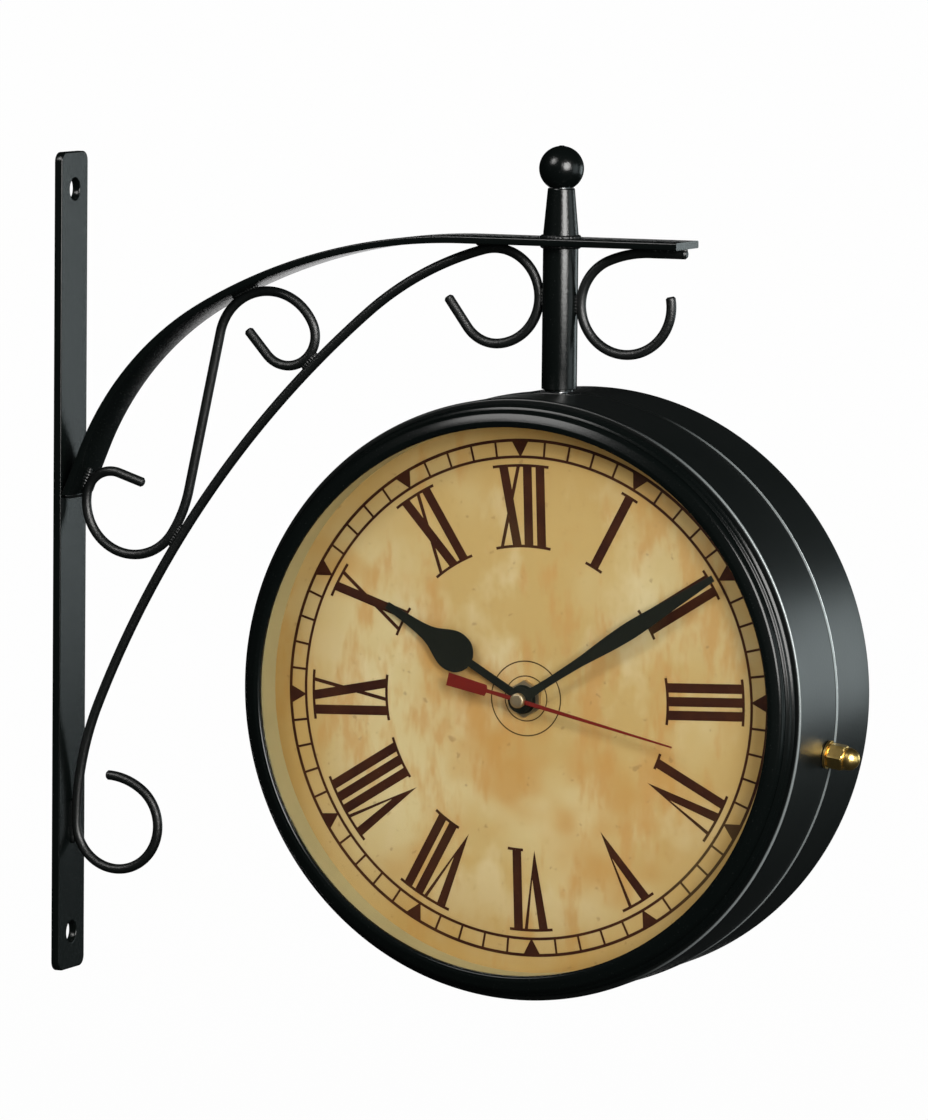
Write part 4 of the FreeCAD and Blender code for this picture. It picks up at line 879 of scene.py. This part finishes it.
# ---- spacer ring ----
# A pale strip of card, bent round to keep the glass off the dial. Its buff colour has gone uneven.

paint, done = material("spacer_card", Specular_IOR_Level=0.2)
stain = paint.spot(45, 3.0, 0.6)
fibre = paint.spot(900, 3.0, 0.6)
spacer_card = done(Base_Color=paint.blend(stain, (0.42, 0.36, 0.19, 1), (0.55, 0.47, 0.25, 1)),
                   Roughness=0.62 + fibre * 0.2, Normal=paint.bump(fibre, 0.00006, 0.6))
dress(spacer_card, "spacer_ring_front", "spacer_ring_rear")


# ---- dial ----
# Printed paper on a thin card, made to look like old parchment: cream and straw clouds, orange
# patches, a darker brown towards the rim, brown specks, and a satin surface.

def parchment():
    paint, done = material("parchment", Specular_IOR_Level=0.28)
    big = paint.spot(13, 3.0, 0.55, centre=(0.31, 0.1, 0.17))
    middle = paint.spot(38, 4.0, 0.6, stretch=(1, 1, 0.6))
    streak = paint.spot(60, 4.0, 0.65, stretch=(1.0, 1.0, 0.35), centre=(0.2, 0, 0.4))
    fine = paint.spot(420, 3.0, 0.6)
    grain = paint.spot(2600, 2.0, 0.6)
    speck = paint.ramp(paint.spot(330, 2.0, 0.4, centre=(0.5, 0, 0.1)), 0.70, 0.78)
    glow = paint.ramp(paint.spot(17, 3.0, 0.6, centre=(0.75, 0.2, 0.62)), 0.52, 0.68)
    x, _, z = paint.place()
    out = (x * x + z * z).maths("SQRT")
    # darker brown towards the rim
    darker_to_rim = paint.ramp(out + middle * 0.03, 0.072, 0.118)
    colour = (0.64, 0.51, 0.26, 1)
    for share, over in ((paint.ramp(big, 0.38, 0.60), (0.54, 0.365, 0.135, 1)),
                        (paint.ramp(middle, 0.50, 0.68) * 0.65, (0.70, 0.575, 0.33, 1)),
                        (paint.ramp(streak, 0.52, 0.66) * 0.7, (0.54, 0.285, 0.085, 1)),
                        (glow * 0.8, (0.52, 0.275, 0.070, 1)),
                        (darker_to_rim * 0.75, (0.43, 0.255, 0.070, 1)),
                        (paint.ramp(fine, 0.58, 0.80) * 0.22, (0.36, 0.22, 0.075, 1)),
                        (speck * 0.35, (0.20, 0.10, 0.035, 1))):
        colour = paint.blend(share, colour, over)
    return done(Base_Color=colour, Roughness=0.46 + fine * 0.14,
                Normal=paint.bump(grain, 0.00001, 0.2))


aged_paper = parchment()


def print_ink():
    """Red-brown ink that has sunk in unevenly: thinner where the paper's grain stands up."""
    paint, done = material("print_ink", Specular_IOR_Level=0.25)
    sunk = paint.spot(520, 4.0, 0.7)
    wear = paint.spot(70, 3.0, 0.6)
    faded = paint.spot(11, 2.0, 0.5, centre=(0.9, 0.3, 0.25))
    colour = paint.blend(paint.ramp(wear, 0.3, 0.7), (0.030, 0.0045, 0.0008, 1),
                         (0.052, 0.012, 0.002, 1))
    colour = paint.blend(paint.ramp(faded, 0.50, 0.62), colour, (0.072, 0.038, 0.012, 1))
    colour = paint.blend(paint.ramp(sunk, 0.60, 0.82) * 0.5, colour, (0.13, 0.050, 0.012, 1))
    return done(Base_Color=colour, Roughness=0.5 + sunk * 0.15)


ink = print_ink()
card_front = 0.0256

# the print, in mm and degrees: how the card sits in its bezel, the circles that numerals stand
# between, their stroke widths, and the minute track
PRINT_TURN = -2.1
FOOT, HEAD, THICK, THIN = 51.4, 78.5, 3.2, 1.25
TRACK_IN, TRACK_OUT = 81.4, 87.0
# each letter: its thick strokes and its thin ones, as places of foot and head along the line, its
# foot bar (from, to), and how far the pen moves on from it to an I and to a V or X
LETTERS = {"I": ([(0, 0)], [], (-3.3, 3.3), 4.6, 4.9),
           "V": ([(2.8, 0)], [(2.8, 6.4)], None, 9.2, 9.2),
           "X": ([(4.5, 0)], [(-1.1, 5.5)], (-3.3, 7.4), 8.7, 8.7)}


def layered(quads, layer):
    """Gives flat quads a height, so that marks printed over each other don't share a plane."""
    quads = np.asarray(quads, float).reshape(-1, 4, 2)
    return np.concatenate([quads, np.full(quads.shape[:2] + (1,), layer * 0.004)], -1)


def at_radius(x, radius):
    """The point above x on a circle about the dial's centre."""
    return (x, math.sqrt(radius ** 2 - x ** 2))


def stroke(foot, head, width, foot_width):
    """A straight stroke from the foot circle to the head circle; foot_width may taper it."""
    return [at_radius(foot - foot_width / 2, FOOT), at_radius(foot + foot_width / 2, FOOT),
            at_radius(head + width / 2, HEAD), at_radius(head - width / 2, HEAD)]


def bar(left, right, radius):
    """A serif bar: part of a ring about the dial's centre, between two places along the line."""
    width = 0.95
    a = np.linspace(left, right, 13) / radius
    rim = np.c_[np.sin(a), np.cos(a)]
    inner, outer = rim * (radius - width / 2), rim * (radius + width / 2)
    return np.stack([inner[:-1], inner[1:], outer[1:], outer[:-1]], 1)


def numeral(text):
    """All quads of a numeral: strokes, then one bar round its head and one round its feet. A V has
    no foot bar: its two strokes taper to a point."""
    pens = [0.0]
    for kind, after in zip(text[:-1], text[1:]):
        pens.append(pens[-1] + LETTERS[kind][3 if after == "I" else 4])
    ends = {"I": 0, "V": 6.4, "X": 5.5}
    left, right = -3.3 - 0.6 * (text[0] == "X"), pens[-1] + ends[text[-1]] + 3.2
    middle = (left + right) / 2
    parts, feet = [], []
    for kind, pen in zip(text, pens):
        thick, thin, foot_bar, _, _ = LETTERS[kind]
        pen -= middle
        if kind == "V":
            parts.append(layered(v_strokes(pen), 0))
            continue
        parts += [layered(stroke(pen + f, pen + h, THICK, THICK), 0) for f, h in thick]
        parts += [layered(stroke(pen + f, pen + h, THIN, THIN), 1) for f, h in thin]
        feet.append((pen + foot_bar[0], pen + foot_bar[1]))
    if feet:
        near_v = 1.0 if "V" in text else 0.0
        low = feet[0][0] + near_v * (text[0] == "V")
        high = feet[-1][1] - near_v * (text[-1] == "V")
        parts.append(layered(bar(low, high, FOOT), 2))
    parts.append(layered(bar(left - middle, right - middle, HEAD), 2))
    return np.concatenate(parts)


def v_strokes(pen):
    """A thick and a thin stroke that meet in a point: two quads that share an edge."""
    point, fork = at_radius(pen + 2.8, FOOT), (pen + 3.75, FOOT + 9.8)
    heads = [at_radius(pen + x, HEAD) for x in (-1.6, 1.6, 5.8, 7.0)]
    return [[point, fork, heads[1], heads[0]], [fork, point, heads[3], heads[2]]]


def turned_quads(quads, degrees):
    """Turns flat quads clockwise about the dial's centre."""
    a = math.radians(degrees)
    spin = np.array([[math.cos(a), -math.sin(a), 0], [math.sin(a), math.cos(a), 0], [0, 0, 1]])
    return quads @ spin


def ring_quads(radius, width, count=360):
    angle = np.linspace(0, 2 * np.pi, count + 1)
    inner = np.c_[np.cos(angle), np.sin(angle)] * (radius - width / 2)
    outer = np.c_[np.cos(angle), np.sin(angle)] * (radius + width / 2)
    return layered(np.stack([inner[:-1], outer[:-1], outer[1:], inner[1:]], 1), 3)


def dial_print():
    """Every printed mark as flat quads in mm: numerals, both circles, minute marks, hour triangles,
    and the two plain rings of the middle. The card sits a little anticlockwise in its bezel."""
    hours = ("XII", "I", "II", "III", "IV", "V", "VI", "VII", "VIII", "IX", "X", "XI")
    parts = [turned_quads(numeral(text), 30 * k) for k, text in enumerate(hours)]
    parts += [ring_quads(TRACK_IN, 0.95), ring_quads(TRACK_OUT, 1.05)]
    parts += [ring_quads(12.6, 0.45, 180), ring_quads(7.6, 0.40, 120)]
    mark = layered([(-0.40, TRACK_IN), (0.40, TRACK_IN), (0.40, TRACK_OUT), (-0.40, TRACK_OUT)], 4)
    parts += [turned_quads(mark, 6 * k) for k in range(60) if k % 5]
    point = layered([(-0.01, 81.2), (0.01, 81.2), (3.3, 87.2), (-3.3, 87.2)], 5)
    parts += [turned_quads(point, 30 * k) for k in range(12)]
    return turned_quads(np.concatenate(parts), PRINT_TURN)


printed = dial_print().reshape(-1, 3) / 1000
dress(aged_paper, "dial_card_front", "dial_card_rear")
for side, body, sign in SIDES:
    points = on_dial(printed[:, :2], sign, card_front + 0.00003 + printed[:, 2])
    mesh = mesh_of(points, np.arange(len(points)).reshape(-1, 4).tolist())
    piece_of("dial_print_" + side, mesh, ink, body)

backing = plated("mill_aluminium", (0.66, 0.67, 0.68, 1), 0.38, scale=400)
dress(backing, "dial_plate_front", "dial_plate_rear")


# ---- movements ----
# Black moulded cases with a fine spark-eroded grain, white acetal wheels, an AA cell and its
# plated contacts. They show only when the case is open.

def moulded(name, shade, rough):
    paint, done = material(name)
    erosion = paint.spot(2200, 3.0, 0.6)
    flow = paint.spot(60, 2.0)
    lighter = tuple(min(1.0, c * 1.35 + 0.004) for c in shade[:3]) + (1,)
    return done(Base_Color=paint.blend(flow * 0.5, shade, lighter),
                Roughness=rough + erosion * 0.12, Normal=paint.bump(erosion, 0.00004, 0.5))


black_case = moulded("black_moulding", (0.018, 0.018, 0.019, 1), 0.42)
white_wheel = moulded("white_acetal", (0.74, 0.73, 0.69, 1), 0.35)
soft_rubber = moulded("soft_rubber", (0.022, 0.022, 0.022, 1), 0.72)
paint, done = material("cell_wrap", Coat_Weight=0.4)
cell_end = paint.ramp(paint.place()[0].maths("ABSOLUTE"), 0.0145, 0.0150)
wrap_grain = paint.spot(300, 2.0)
wrap = paint.blend(cell_end, (0.030, 0.075, 0.055, 1), (0.62, 0.45, 0.16, 1))
cell_finish = done(Base_Color=wrap, Roughness=0.28 + wrap_grain * 0.1)
contact_finish = plated("nickel_contact", (0.70, 0.68, 0.63, 1), 0.25)
turned_brass = plated("turned_brass", (0.74, 0.53, 0.22, 1), 0.30)
satin_brass = plated("satin_brass", (0.62, 0.50, 0.33, 1), 0.42, scale=1500)
for finish, *kinds in (
        (black_case, "movement_case", "movement_cover", "setting_knob"), (cell_finish, "battery"),
        (contact_finish, "battery_contacts"), (turned_brass, "threaded_bush"),
        (satin_brass, "mounting_nut"), (soft_rubber, "rubber_pad"),
        (white_wheel, "hour_wheel", "motion_wheel", "minute_arbor")):
    dress(finish, *(kind + "_" + side for kind in kinds for side, _, _ in SIDES))


# ---- hands ----
# Stamped from thin sheet, with the slight round that the press leaves on their edges. Hour and
# minute hands are a dark green-black, the sweep second hand is red with a brass cap.

def hand_finish(name, shade, rough):
    paint, done = material(name, Specular_IOR_Level=0.4)
    cloud = paint.spot(120, 3.0, 0.6)
    grain = paint.spot(2500, 2.0)
    return done(Base_Color=paint.blend(cloud, shade, scaled(shade, 1.45)),
                Roughness=rough + cloud * 0.12, Normal=paint.bump(grain, 0.00002, 0.5))


dark_hand = hand_finish("dark_hand", (0.0050, 0.0065, 0.0040, 1), 0.42)
red_hand = hand_finish("red_hand", (0.13, 0.0045, 0.0015, 1), 0.42)


def both_sides(stations_of_hand):
    """A closed outline from (distance, half width) pairs: up the right side and down the left."""
    half = np.asarray(stations_of_hand, float) / 1000
    return np.concatenate([np.c_[half[:, 1], half[:, 0]], np.c_[-half[::-1, 1], half[::-1, 0]]])


def smooth_run(points):
    """A smooth curve through (distance, half width) pairs: Catmull-Rom between each pair."""
    p = np.asarray(points, float)
    p = np.concatenate([[2 * p[0] - p[1]], p, [2 * p[-1] - p[-2]]])
    t = np.linspace(0, 1, 10, endpoint=False)[:, None]
    out = [0.5 * (2 * b + (c - a) * t + (2 * a - 5 * b + 4 * c - d) * t ** 2 +
                  (3 * b - a - 3 * c + d) * t ** 3)
           for a, b, c, d in zip(p[:-3], p[1:-2], p[2:-1], p[3:])]
    return np.concatenate(out + [p[-2][None]])


def blade_outline(blade, hub):
    """A blade's outline, with the hub's circle taking over where the blade is narrower."""
    outline = both_sides(blade)
    start = math.asin(blade[0, 1] / hub)
    around = np.linspace(math.pi / 2 + start, 2.5 * math.pi - start, 60)
    keep = outline[:, 1] > hub * math.cos(start) / 1000
    return np.concatenate([outline[keep], np.c_[np.cos(around), np.sin(around)] * hub / 1000])


hour_blade = np.concatenate([[(0, 1.45), (22.2, 1.35)], smooth_run([
    (22.4, 2.3), (23.6, 4.3), (25.8, 6.1), (28.8, 6.9), (31.6, 6.7), (34.2, 5.7), (38.8, 3.4),
    (43, 2.35), (49, 1.75), (58, 1.25)])])
minute_blade = smooth_run([
    (0, 1.9), (8, 1.45), (14, 1.35), (24.6, 1.6), (31, 2.05), (38, 2.6), (44, 2.9), (49, 2.93),
    (56, 2.6), (66, 1.95), (82, 1.1)])
needle = np.array([(-26.6, 2.25), (-12.3, 1.95), (-11.8, 0.65), (0, 0.75), (57, 0.28)])
# brass cap, hollow behind, that presses on the second arbor
cap = eased([(0.0, 0.0340), (0.0019, 0.0340), (0.0025, 0.0336), (0.0025, 0.0315),
             (0.0009, 0.0315), (0.0009, 0.0330), (0.0, 0.0330)], 0.0003)
arbor = [(0.0, 0.0164), (0.0006, 0.0164), (0.0006, 0.0330), (0.0, 0.0330)]
for side, body, sign in SIDES:
    # blade, hub and bore radii in mm, distance out, and the bearing that each hand shows
    for kind, blade, hub, bore, out, degrees in (
            ("hour", hour_blade, 4.9, 2.5, 0.0286, 300.4),
            ("minute", minute_blade, 4.4, 1.65, 0.0306, 57.2)):
        loops = [blade_outline(blade, hub), circle(bore / 1000, count=40)[::-1]]
        hand = kind + "_hand_" + side
        piece_of(hand + "_blade", stamped(loops, 0.0004, 0.00010, sign, out, degrees), dark_hand,
                 kind + "_" + side, hand)
    body = "second_" + side
    mesh = stamped([both_sides(needle)], 0.0004, 0.00008, sign, 0.0320, 102.8)
    piece_of("second_needle_" + side, mesh, red_hand, body, "second_hand_" + side)
    for name, profile, count, finish in (("second_cap_", cap, 64, satin_brass),
                                         ("second_arbor_", arbor, 24, zinc)):
        piece_of(name + side, turned_mesh(profile, DRUM, (0, sign, 0), count), finish, body)
